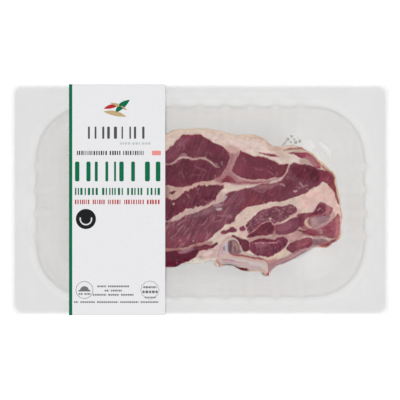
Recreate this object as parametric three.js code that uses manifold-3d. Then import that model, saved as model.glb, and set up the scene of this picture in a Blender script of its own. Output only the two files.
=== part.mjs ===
// A lamb shoulder chop in a clear vacuum skin pack, with a paper label round one end of the pack.
// Millimetres. +Z is up, +X runs along the pack's length and +Y across it. The origin is the centre of the tray's base.
// The tray is a thin thermoformed shell with ribbed walls, the chop and its rib bone lie on the tray's floor, the top
// film lies on the flange and is drawn down over the chop, and the label is a strip folded under the two long edges.

import * as THREE from "three";
import { mergeVertices } from "three/addons/utils/BufferGeometryUtils.js";
import Module from "manifold-3d";

// Driving dimensions of the pack
const PACK_LENGTH = 260;
const PACK_WIDTH = 158;
const PACK_HEIGHT = 28;
const PACK_CORNER = 5.5;
const SHEET = 0.8; // wall of the tray
const TOUCH_GAP = 0.3; // clearance kept between pieces that lie on each other

// The cavity, at its top edge
const CAVITY_LENGTH = 226.5;
const CAVITY_WIDTH = 131.5;
const CAVITY_CORNER = 36;
const CAVITY_X = 0.5; // the cavity sits a little off the middle of the flange
const CAVITY_Y = -1;

// The ribs: grooves that run down the walls
const RIB_HALF_WIDTH = 4;
const RIB_FLAT_HALF = 1.7;
const RIB_DEPTH = 1.6;
const LONG_RIBS = { count: 9, pitch: 17.3 };
const SHORT_RIBS = { count: 4, pitch: 16.2 };

// The flange: a low step round the cavity, then a rim that turns down slightly at the pack's edge
const STEP_FALL = 0.7;
const STEP_INNER = 5.5; // measured out from the cavity's edge
const STEP_OUTER = 7.5;
const RIM_WIDTH = 4.3;
const RIM_FALL = 0.6;

// The chop: where its middle lies on the tray, its thickness and how its edge is rounded
const CHOP_CENTRE = [24, -1];
const CHOP_THICK = 21;
const CHOP_FLOOR = SHEET + TOUCH_GAP;
const CHOP_TOP = CHOP_FLOOR + CHOP_THICK;
const CHOP_STEPS = 96; // points round the outline
const SURFACE_SWELL = 0.45; // the cut face is a little uneven

// Outline of the chop seen from above, anticlockwise from the right-hand end
const CHOP_OUTLINE = [
  [98.6, -9.8], [97.8, -15.3], [97, -24.2], [95.8, -27], [90.5, -31], [87.4, -32.8],
  [83.4, -33.1], [79.4, -32.3], [75.8, -34], [68.5, -38], [61.5, -42.2], [54.7, -45.5],
  [50.6, -48], [48.8, -50.6], [46, -53.4], [43.4, -51.4], [39, -50.6], [34, -49.8],
  [26.5, -47.6], [20, -45.9], [14, -46.6], [10, -43.2], [3, -43.2], [-8, -44.2], [-16, -45.8],
  [-24, -46.8], [-33, -44.5], [-41, -38.5], [-47, -28], [-50, -14], [-50.5, 0], [-49, 14],
  [-44, 27], [-37, 36], [-30, 41.5], [-24, 45.2], [-17.3, 48.4], [0, 49.2], [10, 48.4],
  [19, 46.3], [32, 45.3], [42, 43.2], [46.4, 40.6], [50, 37.3], [59, 36.8], [68, 36.8],
  [76, 32.4], [81.6, 27.2],
  [87, 22.6], [92, 18.2], [94, 9], [96.6, -1],
];

// Outline of the rib bone that lies along the chop's lower edge and shows at its side
const BONE_OUTLINE = [
  [15, -30], [19.2, -27.4], [23.6, -27.2], [26.4, -30], [27.4, -34], [31.4, -37], [38.4, -39],
  [44, -41.4], [47, -45.6], [47, -51], [44.6, -54], [38, -54], [26, -54], [20, -49], [13.2, -45],
  [12.4, -39.4], [14, -34.6],
];

// The top film and the label
const FILM = 0.3;
const LABEL = 0.4;
const LABEL_LEFT = -90;
const LABEL_WIDTH = 66;
const LABEL_RETURN = 9; // how far the label reaches in under the flange

const wasm = await Module();
wasm.setup();

// Distance from `from` along `direction` to a rounded rectangle centred at (cx, cy), from a point inside it
function reach(from, direction, halfLength, halfWidth, corner, cx = 0, cy = 0) {
  const [px, py] = [from[0] - cx, from[1] - cy];
  const [dx, dy] = direction;
  const toX = dx ? (Math.sign(dx) * halfLength - px) / dx : Infinity;
  const toY = dy ? (Math.sign(dy) * halfWidth - py) / dy : Infinity;
  const straight = Math.min(toX, toY);
  const [hx, hy] = [px + straight * dx, py + straight * dy];
  const [kx, ky] = [halfLength - corner, halfWidth - corner];
  if (Math.abs(hx) <= kx || Math.abs(hy) <= ky) return straight;
  const [ax, ay] = [px - Math.sign(hx) * kx, py - Math.sign(hy) * ky];
  const along = ax * dx + ay * dy;
  return -along + Math.sqrt(along * along - (ax * ax + ay * ay - corner * corner));
}

// A closed solid through rings of equal length, each end closed by a fan to the middle of its ring
function loft(rings) {
  const steps = rings[0].length;
  const positions = rings.flat(2);
  const index = [];
  for (let ring = 0; ring + 1 < rings.length; ring++)
    for (let i = 0; i < steps; i++) {
      const next = (i + 1) % steps;
      const [a, b] = [ring * steps + i, ring * steps + next];
      index.push(a, b, b + steps, a, b + steps, a + steps);
    }
  for (const [ring, turned] of [[0, true], [rings.length - 1, false]]) {
    const middle = [0, 1, 2].map((k) => rings[ring].reduce((sum, p) => sum + p[k], 0) / steps);
    const centre = positions.length / 3;
    positions.push(...middle);
    for (let i = 0; i < steps; i++) {
      const [a, b] = [ring * steps + i, ring * steps + ((i + 1) % steps)];
      index.push(...(turned ? [b, a, centre] : [a, b, centre]));
    }
  }
  return new THREE.BufferGeometry()
    .setAttribute("position", new THREE.Float32BufferAttribute(positions, 3))
    .setIndex(index);
}

// Stations round the cavity: a point on the rectangle of its corner centres, the way out from it, and the rib's share
function cavityStations() {
  const [halfX, halfY] = [CAVITY_LENGTH / 2 - CAVITY_CORNER, CAVITY_WIDTH / 2 - CAVITY_CORNER];
  const cornerDegrees = [0, 12, 24, 34, 41, 44, 47, 57, 68, 79, 90];
  const ribEdges = [[-RIB_HALF_WIDTH, 0], [-RIB_FLAT_HALF, 1], [RIB_FLAT_HALF, 1], [RIB_HALF_WIDTH, 0]];
  const stations = [];
  for (let side = 0; side < 4; side++) {
    const turn = (side * Math.PI) / 2;
    const out = [Math.round(Math.cos(turn)), Math.round(Math.sin(turn))];
    const along = [-out[1], out[0]];
    const ribs = out[0] ? SHORT_RIBS : LONG_RIBS;
    for (let n = 0; n < ribs.count; n++)
      for (const [shift, rib] of ribEdges) {
        const place = (n - (ribs.count - 1) / 2) * ribs.pitch + shift;
        const spine = [
          CAVITY_X + out[0] * halfX + along[0] * place,
          CAVITY_Y + out[1] * halfY + along[1] * place,
        ];
        stations.push({ spine, out, rib });
      }
    const corner = [
      CAVITY_X + (out[0] + along[0]) * halfX,
      CAVITY_Y + (out[1] + along[1]) * halfY,
    ];
    for (const degrees of cornerDegrees) {
      const angle = turn + (degrees * Math.PI) / 180;
      stations.push({ spine: corner, out: [Math.cos(angle), Math.sin(angle)], rib: 0 });
    }
  }
  return stations;
}

// Section of the tray's upper face from the floor to the step: distance in from the cavity's edge, height, rib share
const WALL_SECTION = [
  [11, SHEET, 0],
  [8.2, 1.6, 0.6],
  [5.8, 4.2, 1],
  [3.8, 10, 1],
  [1.8, 19, 1],
  [0, PACK_HEIGHT - 0.8, 1],
  [-0.9, PACK_HEIGHT, 1],
  [-STEP_INNER, PACK_HEIGHT, 0],
  [-STEP_OUTER, PACK_HEIGHT - STEP_FALL, 0],
];

// The same section moved down and out by the sheet's thickness, which is the tray's underside
function undersideOf(section) {
  return section.map(([inset, z, rib], k) => {
    const before = section[Math.max(k - 1, 0)];
    const after = section[Math.min(k + 1, section.length - 1)];
    const [across, up] = [before[0] - after[0], after[1] - before[1]];
    const long = Math.hypot(across, up);
    const flat = k === 0 ? [0, 1] : [up / long, across / long];
    return [inset - SHEET * flat[0], z - SHEET * flat[1], rib];
  });
}

function trayGeometry() {
  const stations = cavityStations();
  const wallRing = ([inset, z, rib]) =>
    stations.map((s) => {
      const out = CAVITY_CORNER - inset + RIB_DEPTH * rib * s.rib;
      return [s.spine[0] + s.out[0] * out, s.spine[1] + s.out[1] * out, z];
    });
  const edgeRing = (inset, z) =>
    stations.map((s) => {
      const corner = PACK_CORNER - Math.min(inset, PACK_CORNER / 2);
      const out = reach(s.spine, s.out, PACK_LENGTH / 2 - inset, PACK_WIDTH / 2 - inset, corner);
      return [s.spine[0] + s.out[0] * out, s.spine[1] + s.out[1] * out, z];
    });
  const rimTop = PACK_HEIGHT - STEP_FALL;
  return loft([
    ...WALL_SECTION.map(wallRing),
    edgeRing(RIM_WIDTH, rimTop),
    edgeRing(0, rimTop - RIM_FALL),
    edgeRing(0, rimTop - RIM_FALL - SHEET),
    edgeRing(RIM_WIDTH, rimTop - SHEET),
    ...undersideOf(WALL_SECTION).reverse().map(wallRing),
  ].reverse());
}

// Directions from the chop's middle to evenly spaced points on its outline, with the outline's distance in each
function chopRays() {
  const curve = new THREE.CatmullRomCurve3(
    CHOP_OUTLINE.map(([x, y]) => new THREE.Vector3(x, y, 0)), true, "centripetal",
  );
  const outline = curve.getSpacedPoints(CHOP_STEPS).slice(0, CHOP_STEPS);
  const rays = outline.map((p) => {
    const [dx, dy] = [p.x - CHOP_CENTRE[0], p.y - CHOP_CENTRE[1]];
    const reachOut = Math.hypot(dx, dy);
    return { direction: [dx / reachOut, dy / reachOut], reachOut, angle: Math.atan2(dy, dx) };
  });
  return rays.sort((a, b) => a.angle - b.angle);
}

// Height of the cut face, which swells gently
function faceHeight(x, y) {
  return CHOP_TOP + SURFACE_SWELL * (Math.sin(x / 13) * Math.cos(y / 17) + 0.5 * Math.sin(y / 9 + x / 21));
}

function pointOn(ray, distance, z) {
  const [x, y] = [CHOP_CENTRE[0] + ray.direction[0] * distance, CHOP_CENTRE[1] + ray.direction[1] * distance];
  return [x, y, z ?? faceHeight(x, y)];
}

// The whole cut of meat with its bone still in it
function cutGeometry() {
  const rays = chopRays();
  const sideSection = [
    [2.5, CHOP_FLOOR],
    [0.4, CHOP_FLOOR + 3],
    [0, CHOP_FLOOR + 10],
    [0.5, CHOP_FLOOR + 16.5],
    [2.6, CHOP_TOP - 1],
  ];
  const faceShares = [1, 0.78, 0.56, 0.34, 0.12];
  const faceInset = 6;
  return loft([
    ...sideSection.map(([inset, z]) => rays.map((r) => pointOn(r, r.reachOut - inset, z))),
    ...faceShares.map((share) => rays.map((r) => pointOn(r, (r.reachOut - faceInset) * share))),
  ]);
}

// The chop's rays with two more to each corner of the pack, where the film follows the tray's rounded corners
function filmRays() {
  const rays = chopRays();
  for (const sideX of [-1, 1])
    for (const sideY of [-1, 1])
      for (const [fromX, fromY] of [[0, PACK_CORNER], [PACK_CORNER, 0]]) {
        const dx = sideX * (PACK_LENGTH / 2 - fromX) - CHOP_CENTRE[0];
        const dy = sideY * (PACK_WIDTH / 2 - fromY) - CHOP_CENTRE[1];
        const angle = Math.atan2(dy, dx);
        const after = rays.findIndex((r) => r.angle > angle);
        const [a, b] = [rays[after - 1], rays[after]];
        const cross = (u, v) => u[0] * v[1] - u[1] * v[0];
        const direction = [Math.cos(angle), Math.sin(angle)];
        const pa = a.direction.map((u) => u * a.reachOut);
        const edge = b.direction.map((u, k) => u * b.reachOut - pa[k]);
        rays.splice(after, 0, { direction, reachOut: cross(pa, edge) / cross(direction, edge), angle });
      }
  return rays;
}

// The film: one sheet from the pack's edge, down into the cavity, along the floor and up over the chop
function filmGeometry() {
  const rays = filmRays();
  const halfL = CAVITY_LENGTH / 2;
  const halfW = CAVITY_WIDTH / 2;
  const toCavity = (ray, inset) =>
    reach(CHOP_CENTRE, ray.direction, halfL - inset, halfW - inset, CAVITY_CORNER - inset, CAVITY_X, CAVITY_Y);
  const toPackEdge = (ray, inset) =>
    reach(CHOP_CENTRE, ray.direction, PACK_LENGTH / 2 - inset, PACK_WIDTH / 2 - inset, PACK_CORNER - inset);
  const overFlange = PACK_HEIGHT + TOUCH_GAP;
  const edgeInset = 1;
  const overRim = overFlange - STEP_FALL + 0.1;
  const edgeHeight = overRim - RIM_FALL * (1 - edgeInset / RIM_WIDTH);
  const floorInset = 11.6;
  const overFloor = SHEET + TOUCH_GAP + 0.05;
  const sideGap = 0.9;
  const beside = (ray) => {
    const side = ray.reachOut + sideGap;
    return Math.min(side + 2, (side + toCavity(ray, floorInset)) / 2);
  };
  const overFace = CHOP_TOP + 2 * SURFACE_SWELL + TOUCH_GAP;
  const lower = [
    rays.map((r) => pointOn(r, r.reachOut - 6, overFace)),
    rays.map((r) => pointOn(r, r.reachOut - 2.2, CHOP_TOP)),
    rays.map((r) => pointOn(r, r.reachOut + sideGap, CHOP_TOP - 5)),
    rays.map((r) => pointOn(r, beside(r), overFloor)),
    rays.map((r) => pointOn(r, toCavity(r, floorInset), overFloor)),
    rays.map((r) => pointOn(r, toCavity(r, 8), 3.6)),
    rays.map((r) => pointOn(r, toCavity(r, 1.6), PACK_HEIGHT - 1.4)),
    rays.map((r) => pointOn(r, toCavity(r, -0.6), overFlange)),
    rays.map((r) => pointOn(r, toCavity(r, -STEP_INNER), overFlange)),
    rays.map((r) => pointOn(r, toPackEdge(r, RIM_WIDTH), overRim)),
    rays.map((r) => pointOn(r, toPackEdge(r, edgeInset), edgeHeight)),
  ];
  const upper = lower.map((ring) => ring.map(([x, y, z]) => [x, y, z + FILM]));
  return loft([...lower, ...upper.reverse()]);
}

// The label: a strip across the pack whose two ends fold down and in under the flange
function labelGeometry() {
  const under = PACK_HEIGHT + 2 * TOUCH_GAP + FILM;
  const edge = PACK_WIDTH / 2 + TOUCH_GAP + 0.1;
  const foldZ = PACK_HEIGHT - STEP_FALL - RIM_FALL - SHEET - TOUCH_GAP - 0.1;
  const end = edge - LABEL_RETURN;
  const half = [
    [end, foldZ], [edge, foldZ], [edge, under], [-edge, under], [-edge, foldZ], [-end, foldZ],
    [-end, foldZ - LABEL], [-edge - LABEL, foldZ - LABEL], [-edge - LABEL, under + LABEL],
    [edge + LABEL, under + LABEL], [edge + LABEL, foldZ - LABEL], [end, foldZ - LABEL],
  ];
  const section = new THREE.Shape(half.map(([y, z]) => new THREE.Vector2(y, z)));
  const strip = new THREE.ExtrudeGeometry(section, { depth: LABEL_WIDTH, bevelEnabled: false });
  // The section is drawn in Y and Z and drawn out along X
  const axes = new THREE.Matrix4().makeBasis(
    new THREE.Vector3(0, 1, 0), new THREE.Vector3(0, 0, 1), new THREE.Vector3(1, 0, 0),
  );
  return strip.applyMatrix4(axes).translate(LABEL_LEFT, 0, 0);
}

// An upright prism on a smooth outline, grown outwards by `grow`
function prism(points, grow) {
  const curve = new THREE.CatmullRomCurve3(
    points.map(([x, y]) => new THREE.Vector3(x, y, 0)), true, "centripetal",
  );
  const steps = points.length * 3;
  const round = curve.getPoints(steps).slice(0, steps);
  const outline = round.map((p, i) => {
    const [before, after] = [round[(i + steps - 1) % steps], round[(i + 1) % steps]];
    const way = new THREE.Vector2(after.x - before.x, after.y - before.y).normalize();
    return new THREE.Vector2(p.x - way.y * grow, p.y + way.x * grow);
  });
  const tall = 2 * PACK_HEIGHT;
  return new THREE.ExtrudeGeometry(new THREE.Shape(outline), { depth: tall, bevelEnabled: false })
    .translate(0, 0, -tall / 4);
}

function toSolid(geometry) {
  const bare = geometry.clone();
  bare.deleteAttribute("normal");
  bare.deleteAttribute("uv");
  const merged = mergeVertices(bare, 1e-4);
  return new wasm.Manifold(new wasm.Mesh({
    numProp: 3,
    vertProperties: merged.attributes.position.array,
    triVerts: new Uint32Array(merged.index.array),
  }));
}

function toGeometry(solid) {
  const made = solid.getMesh();
  return new THREE.BufferGeometry()
    .setAttribute("position", new THREE.BufferAttribute(made.vertProperties, 3))
    .setIndex(new THREE.BufferAttribute(made.triVerts, 1));
}

const cut = toSolid(cutGeometry());
const meat = cut.subtract(toSolid(prism(BONE_OUTLINE, TOUCH_GAP)));
const bone = cut.intersect(toSolid(prism(BONE_OUTLINE, 0)));

const clearPlastic = { color: 0xe4e5e4, roughness: 0.15, metalness: 0, transparent: true, opacity: 0.35 };

function piece(name, geometry, finish) {
  const mesh = new THREE.Mesh(geometry, new THREE.MeshStandardMaterial(finish));
  mesh.name = name;
  return mesh;
}

const pack = new THREE.Group();
pack.add(piece("tray", trayGeometry(), clearPlastic));
pack.add(piece("chop", toGeometry(meat), { color: 0x7a4651, roughness: 0.35, metalness: 0 }));
pack.add(piece("rib_bone", toGeometry(bone), { color: 0xcbb0ab, roughness: 0.5, metalness: 0 }));
pack.add(piece("skin_film", filmGeometry(), { ...clearPlastic, opacity: 0.12 }));
pack.add(piece("label", labelGeometry(), { color: 0xececef, roughness: 0.6, metalness: 0 }));

export default pack;
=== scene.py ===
"""A raw lamb shoulder chop, vacuum skin packed in a clear tray, with a paper label round one end of the pack.

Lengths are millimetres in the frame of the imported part, turned into metres where a mesh is made.
"""

import math

import bpy
import numpy as np
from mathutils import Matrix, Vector
from mathutils.bvhtree import BVHTree
from mathutils.geometry import delaunay_2d_cdt


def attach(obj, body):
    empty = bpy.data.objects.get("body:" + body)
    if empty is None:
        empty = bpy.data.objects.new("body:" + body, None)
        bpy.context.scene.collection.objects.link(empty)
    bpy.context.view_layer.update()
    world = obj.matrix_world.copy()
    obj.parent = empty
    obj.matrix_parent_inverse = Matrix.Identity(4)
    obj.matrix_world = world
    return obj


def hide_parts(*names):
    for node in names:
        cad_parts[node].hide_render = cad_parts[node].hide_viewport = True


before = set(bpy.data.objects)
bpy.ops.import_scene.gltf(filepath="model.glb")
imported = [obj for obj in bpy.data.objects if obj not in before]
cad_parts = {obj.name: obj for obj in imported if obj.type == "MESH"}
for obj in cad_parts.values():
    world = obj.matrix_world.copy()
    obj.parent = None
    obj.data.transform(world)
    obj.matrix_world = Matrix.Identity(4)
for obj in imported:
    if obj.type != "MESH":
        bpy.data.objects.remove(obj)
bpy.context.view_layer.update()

# The tray is one thermoformed sheet of clear, slightly milky plastic. Its walls are stiffened by ribs pressed
# outwards, and a low step and a rim that turns down run round the flange the film is sealed to.
MM = 0.001
PACK_LENGTH, PACK_WIDTH, PACK_HEIGHT, PACK_CORNER = 260, 158, 28, 5.5
SHEET = 0.8
CAVITY_LENGTH, CAVITY_WIDTH, CAVITY_CORNER = 224.6, 129.4, 35
CAVITY_MIDDLE = np.array([0.2, -1.3])
CAVITY_PLASTIC, FLANGE_PLASTIC = (191, 188, 185), (189, 189, 189)
RIB_HALF_WIDTH, RIB_DEPTH = 4.2, 1.7
PAINTED_LINE_SHIFT = 2.2  # how far the painted shade and painted highlight lines along the cavity's edge run out round a rib
# Painted highlight on each rib and painted shade down its flanks
RIB_PAINTED_LIGHT, FLANK_PAINTED_SHADE = 0.12, 0.2
FLANK_PLACE, FLANK_WIDTH = 0.22, 0.2  # as shares of the rib's height
RIB_LINES = [-1, 1, 12, 24], [0, 1, 0.8, 0]  # distance in from the edge, how strongly a rib's painted shade and highlight lines show
FLOOR_STARTS = [9, 16], [0, 1]
FLOOR_PAINTED_LIGHT = [-85, -60, 45, 80], [0.14, 0, 0, 0.33]  # place along the pack, how much painted light lightens the floor where the label and the chop shade it
LONG_RIBS = (9, 17.3)  # count and pitch along a long wall
SHORT_RIBS = (4, 16.2)
STATION_STEP = 0.85
RIM_EDGE = (26.55, 26.0)  # heights of the two lines round the cut edge
CORNER_POINTS = 60  # round each corner of the cavity
LIGHT_LEVEL = 1.3  # brightness of a level white surface in this light

# Section of the upper face from the floor to the step: distance in from the cavity's edge, height, share of
# the rib and the painted light or shade on the plastic, which makes up for the shade of its slopes and paints
# the shaded line at the cavity's edge
WALL_SECTION = [
    (30, 0.8, 0, 0.7), (22, 0.8, 0, 0.71), (14, 0.8, 0.15, 0.8), (11, 0.85, 0.3, 0.99), (9.4, 1.15, 0.5, 1.1),
    (8, 1.8, 0.7, 1.19), (6.8, 2.8, 0.9, 1.41), (5.8, 4.3, 1, 1.61), (4.9, 6.6, 1, 1.75),
    (3.8, 10.5, 1, 1.88), (2.8, 14.6, 1, 2), (1.8, 19, 1, 2.1), (1, 23.2, 1, 1.8), (0.45, 26, 1, 1),
    (0.05, 27.2, 1, 0.82), (-0.4, 27.75, 1, 0.88), (-1.1, 27.98, 0.85, 0.9), (-2.1, 28, 0.6, 0.98),
    (-3.4, 28, 0.2, 1.02), (-4.6, 28, 0, 1.2), (-5.2, 27.97, 0, 1.27), (-5.7, 27.85, 0, 1.27),
    (-6.6, 27.55, 0, 1.2), (-7.6, 27.35, 0, 1.08), (-8.2, 27.3, 0, 1.05),
]
# Section of the rim: distance in from the pack's edge, height, painted light or shade on the plastic
RIM_SECTION = [
    (4.2, 27.28, 1.04), (3.7, 27.2, 1.13), (2.8, 27.05, 1.14), (1.6, 26.88, 1.07), (0.6, 26.76, 0.83),
    (0.15, 26.68, 0.8),
]

# Painted light on the floor round the chop, where the chop and the film shade it: x, y, reach, how much
PAINTED_LIGHT_PLACES = [
    (76, -42, 15, 0.3), (84, 30, 12, 0.16), (68, 42, 9, 0.3),
]


def rib_share(along, ribs):
    """How far a rib stands out at each place along a wall, from 0 to 1."""
    count, pitch = ribs
    share = np.zeros_like(along)
    for n in range(count):
        near = np.abs(along - (n - (count - 1) / 2) * pitch) / RIB_HALF_WIDTH
        share += np.where(near < 1, np.cos(np.minimum(near, 1) * math.pi / 2) ** 1.4, 0)
    return share


def stations():
    """Places round the cavity: a point on the rectangle of corner centres, the way out, the rib's share."""
    spine, out, share = [], [], []
    half = np.array([CAVITY_LENGTH, CAVITY_WIDTH]) / 2 - CAVITY_CORNER
    for side in range(4):
        turn = side * math.pi / 2
        way = np.round([math.cos(turn), math.sin(turn)])
        across = np.array([-way[1], way[0]])
        reach = abs(across @ half)
        along = np.linspace(-reach, reach, round(2 * reach / STATION_STEP), endpoint=False)
        spine.append(CAVITY_MIDDLE + way * half + along[:, None] * across)
        out.append(np.tile(way, (len(along), 1)))
        share.append(rib_share(along, SHORT_RIBS if way[0] else LONG_RIBS))
        angles = turn + np.linspace(0, math.pi / 2, CORNER_POINTS, endpoint=False)
        spine.append(np.tile(CAVITY_MIDDLE + (way + across) * half, (CORNER_POINTS, 1)))
        out.append(np.column_stack([np.cos(angles), np.sin(angles)]))
        share.append(np.zeros(CORNER_POINTS))
    return np.vstack(spine), np.vstack(out), np.hstack(share)


def to_edge(start, way, half_length, half_width, corner, middle=(0, 0)):
    """Distance from points inside a rounded rectangle to its edge, each in its own direction."""
    p = start - np.array(middle)
    with np.errstate(divide="ignore", invalid="ignore"):
        to_x = np.where(way[:, 0] != 0, (np.sign(way[:, 0]) * half_length - p[:, 0]) / way[:, 0], np.inf)
        to_y = np.where(way[:, 1] != 0, (np.sign(way[:, 1]) * half_width - p[:, 1]) / way[:, 1], np.inf)
    straight = np.minimum(to_x, to_y)
    hit = p + straight[:, None] * way
    core = np.array([half_length - corner, half_width - corner])
    centre = np.sign(hit) * core
    a = p - centre
    along = (a * way).sum(1)
    round_off = -along + np.sqrt(np.maximum(along**2 - (a * a).sum(1) + corner**2, 0))
    in_corner = (np.abs(hit) > core).all(1)
    return np.where(in_corner, round_off, straight)


def new_mesh(name, points, faces):
    """A smooth object from points in millimetres; faces may be triangles or quads."""
    mesh = bpy.data.meshes.new(name)
    mesh.from_pydata((np.asarray(points) * MM).tolist(), [], [list(map(int, f)) for f in faces])
    mesh.validate()
    mesh.shade_smooth()
    made = bpy.data.objects.new(name, mesh)
    bpy.context.collection.objects.link(made)
    return made


def ring_faces(rings, steps):
    """Quads between closed rings that each have the same number of points, one ring after another."""
    i = np.arange(steps)
    after = (i + 1) % steps
    return np.vstack([
        np.column_stack([r * steps + i, r * steps + after, (r + 1) * steps + after, (r + 1) * steps + i])
        for r in range(rings - 1)
    ])


def store(made, name, values):
    """Keeps a number or a vector for each vertex under a name that the material reads."""
    values = np.asarray(values, dtype=np.float32)
    kind = "FLOAT" if values.ndim == 1 else "FLOAT_VECTOR"
    layer = made.data.attributes.new(name, kind, "POINT")
    layer.data.foreach_set("value" if values.ndim == 1 else "vector", values.ravel())


def new_material(name, **surface):
    """A material with one Principled surface whose plain values are set from the keywords."""
    made = bpy.data.materials.new(name)
    made.use_nodes = True
    shader = made.node_tree.nodes["Principled BSDF"]
    for key, value in surface.items():
        shader.inputs[key.replace("_", " ")].default_value = value
    return made, made.node_tree, shader


def node(tree, kind, inputs=None, **settings):
    """Adds a shader node; an input is given a value or the socket that feeds it."""
    made = tree.nodes.new(kind)
    for key, value in settings.items():
        setattr(made, key, value)
    for key, value in (inputs or {}).items():
        if isinstance(value, bpy.types.NodeSocket):
            tree.links.new(value, made.inputs[key])
        else:
            made.inputs[key].default_value = value
    return made


def maths(tree, operation, a, b=0.0, c=0.0):
    return node(tree, "ShaderNodeMath", {0: a, 1: b, 2: c}, operation=operation).outputs[0]


def blend(tree, factor, a, b, kind="MIX"):
    """Mixes two colours, which may be sockets or values."""
    made = node(tree, "ShaderNodeMix", {0: factor}, data_type="RGBA", blend_type=kind)
    for slot_number, value in ((6, a), (7, b)):
        if isinstance(value, bpy.types.NodeSocket):
            tree.links.new(value, made.inputs[slot_number])
        else:
            made.inputs[slot_number].default_value = (*value[:3], 1)
    return made.outputs[2]


def stored(tree, name, output="Fac"):
    return node(tree, "ShaderNodeAttribute", attribute_name=name).outputs[output]


def shaded(tree, colour, shade):
    """A colour made lighter or darker by a number."""
    grey = node(tree, "ShaderNodeCombineColor", {0: shade, 1: shade, 2: shade}).outputs[0]
    return blend(tree, 1.0, colour, grey, "MULTIPLY")


def roughen(tree, shader, height, strength, distance):
    """Fine relief over a material's surface."""
    bump = node(tree, "ShaderNodeBump", {"Height": height, "Strength": strength, "Distance": distance})
    tree.links.new(bump.outputs["Normal"], shader.inputs["Normal"])


def linear(colour):
    """Linear values of a display colour given as 0 to 255."""
    c = np.asarray(colour, dtype=float) / 255
    return np.where(c <= 0.04045, c / 12.92, ((c + 0.055) / 1.055) ** 2.4)


def surface(colour, veil=0.0):
    """Surface colour that shows as the given display colour in this light, under a film that adds a veil."""
    return np.maximum(linear(colour) - veil, 0.003) / LIGHT_LEVEL


spine, way_out, rib = stations()
count = len(spine)
wall = np.array(WALL_SECTION)
slope = np.gradient(wall[:, :2], axis=0)
slope /= np.linalg.norm(slope, axis=1)[:, None]
wall_under = wall.copy()
wall_under[:, 0] -= SHEET * slope[:, 1]
wall_under[:, 1] += SHEET * slope[:, 0]
wall_under[:4, 1] = 0


def wall_ring(inset, height, share):
    out = CAVITY_CORNER - inset + RIB_DEPTH * share * rib
    return np.column_stack([spine + way_out * out[:, None], np.full(count, height)])


def rim_ring(inset, height):
    corner = PACK_CORNER - min(inset, PACK_CORNER / 2)
    out = to_edge(spine, way_out, PACK_LENGTH / 2 - inset, PACK_WIDTH / 2 - inset, corner)
    return np.column_stack([spine + way_out * out[:, None], np.full(count, height)])


upper = [wall_ring(*row[:3]) for row in wall] + [rim_ring(*row[:2]) for row in RIM_SECTION]
lower = [wall_ring(*row[:3]) for row in wall_under] + [rim_ring(i, z - SHEET) for i, z, painted_shading in RIM_SECTION]
edge = [rim_ring(0, height) for height in RIM_EDGE]
rings = lower + edge[::-1] + upper[::-1]
points = np.vstack(rings)
faces = ring_faces(len(rings), count).tolist()
faces += [list(range(count))[::-1], [(len(rings) - 1) * count + i for i in range(count)]]
tray = new_mesh("tray_sheet", points, faces)

# Painted light and shade on the plastic by place: its section's painted shading, with fine painted shade
# lines down both sides of each rib and a painted highlight on it, and painted light where the label and the
# chop shade the floor
shifted = wall[:, 0, None] + (PAINTED_LINE_SHIFT - RIB_DEPTH * wall[:, 2, None]) * rib
painted_shading_across = [np.interp(shifted, wall[::-1, 0], wall[::-1, 3])]
painted_shading_across += [np.full(count, painted_shading) for *_, painted_shading in RIM_SECTION]
flank = np.exp(-(((rib - FLANK_PLACE) / FLANK_WIDTH) ** 2)) * (rib > 0)
insets = np.hstack([wall[:, 0], np.full(len(RIM_SECTION), -9)])
flute = np.interp(insets, *RIB_LINES)
upper_painted_shading = np.vstack(painted_shading_across) * (1 + flute[:, None] * (RIB_PAINTED_LIGHT * rib - FLANK_PAINTED_SHADE * flank))
ring_x, ring_y = (np.array([ring[:, k] for ring in upper]) for k in (0, 1))
inner = np.interp(insets, *FLOOR_STARTS)[:, None]
upper_painted_shading *= 1 + inner * np.interp(ring_x, *FLOOR_PAINTED_LIGHT)
for x, y, reach, more in PAINTED_LIGHT_PLACES:
    upper_painted_shading += more * inner * np.exp(-((ring_x - x) ** 2 + (ring_y - y) ** 2) / reach**2)
all_painted_shading = np.vstack([upper_painted_shading, np.ones((2, count)) * upper_painted_shading[-1:], upper_painted_shading[::-1]])
store(tray, "painted_shading", all_painted_shading.ravel())
inside = np.interp(insets, [-1, 0.5], [0, 1])
inside = np.hstack([inside, [0, 0], inside[::-1]])
store(tray, "inside", np.repeat(inside, count))

tray_plastic, tree, shader = new_material(
    "tray_plastic", Roughness=0.45, IOR=1.5, Alpha=0.25, Specular_IOR_Level=0.3,
)
place = node(tree, "ShaderNodeTexCoord").outputs["Object"]
haze = node(tree, "ShaderNodeTexNoise", {"Vector": place, "Scale": 45.0, "Detail": 3.0}).outputs["Fac"]
spread = {"From Min": 0.3, "From Max": 0.7, "To Min": 0.96, "To Max": 1.04}
haze = node(tree, "ShaderNodeMapRange", {"Value": haze, **spread}).outputs["Result"]
plastic = blend(tree, stored(tree, "inside"), surface(FLANGE_PLASTIC), surface(CAVITY_PLASTIC))
# The plastic's colour carries the stored painted light and shade, times a faint random haze
shade = maths(tree, "MULTIPLY", stored(tree, "painted_shading"), haze)
tree.links.new(shaded(tree, plastic, shade), shader.inputs["Base Color"])
ripple = node(tree, "ShaderNodeTexNoise", {"Vector": place, "Scale": 120.0, "Detail": 2.0}).outputs["Fac"]
roughen(tree, shader, ripple, 0.08, 0.001)
tray.data.materials.append(tray_plastic)
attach(tray, "root")
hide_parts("tray")


# The chop is one slice sawn through a lamb's shoulder: dark red muscles with their own grain, cream fat
# between them, paler gristle and seams, and dried skin round the outside. It lies on the tray's floor.

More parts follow.
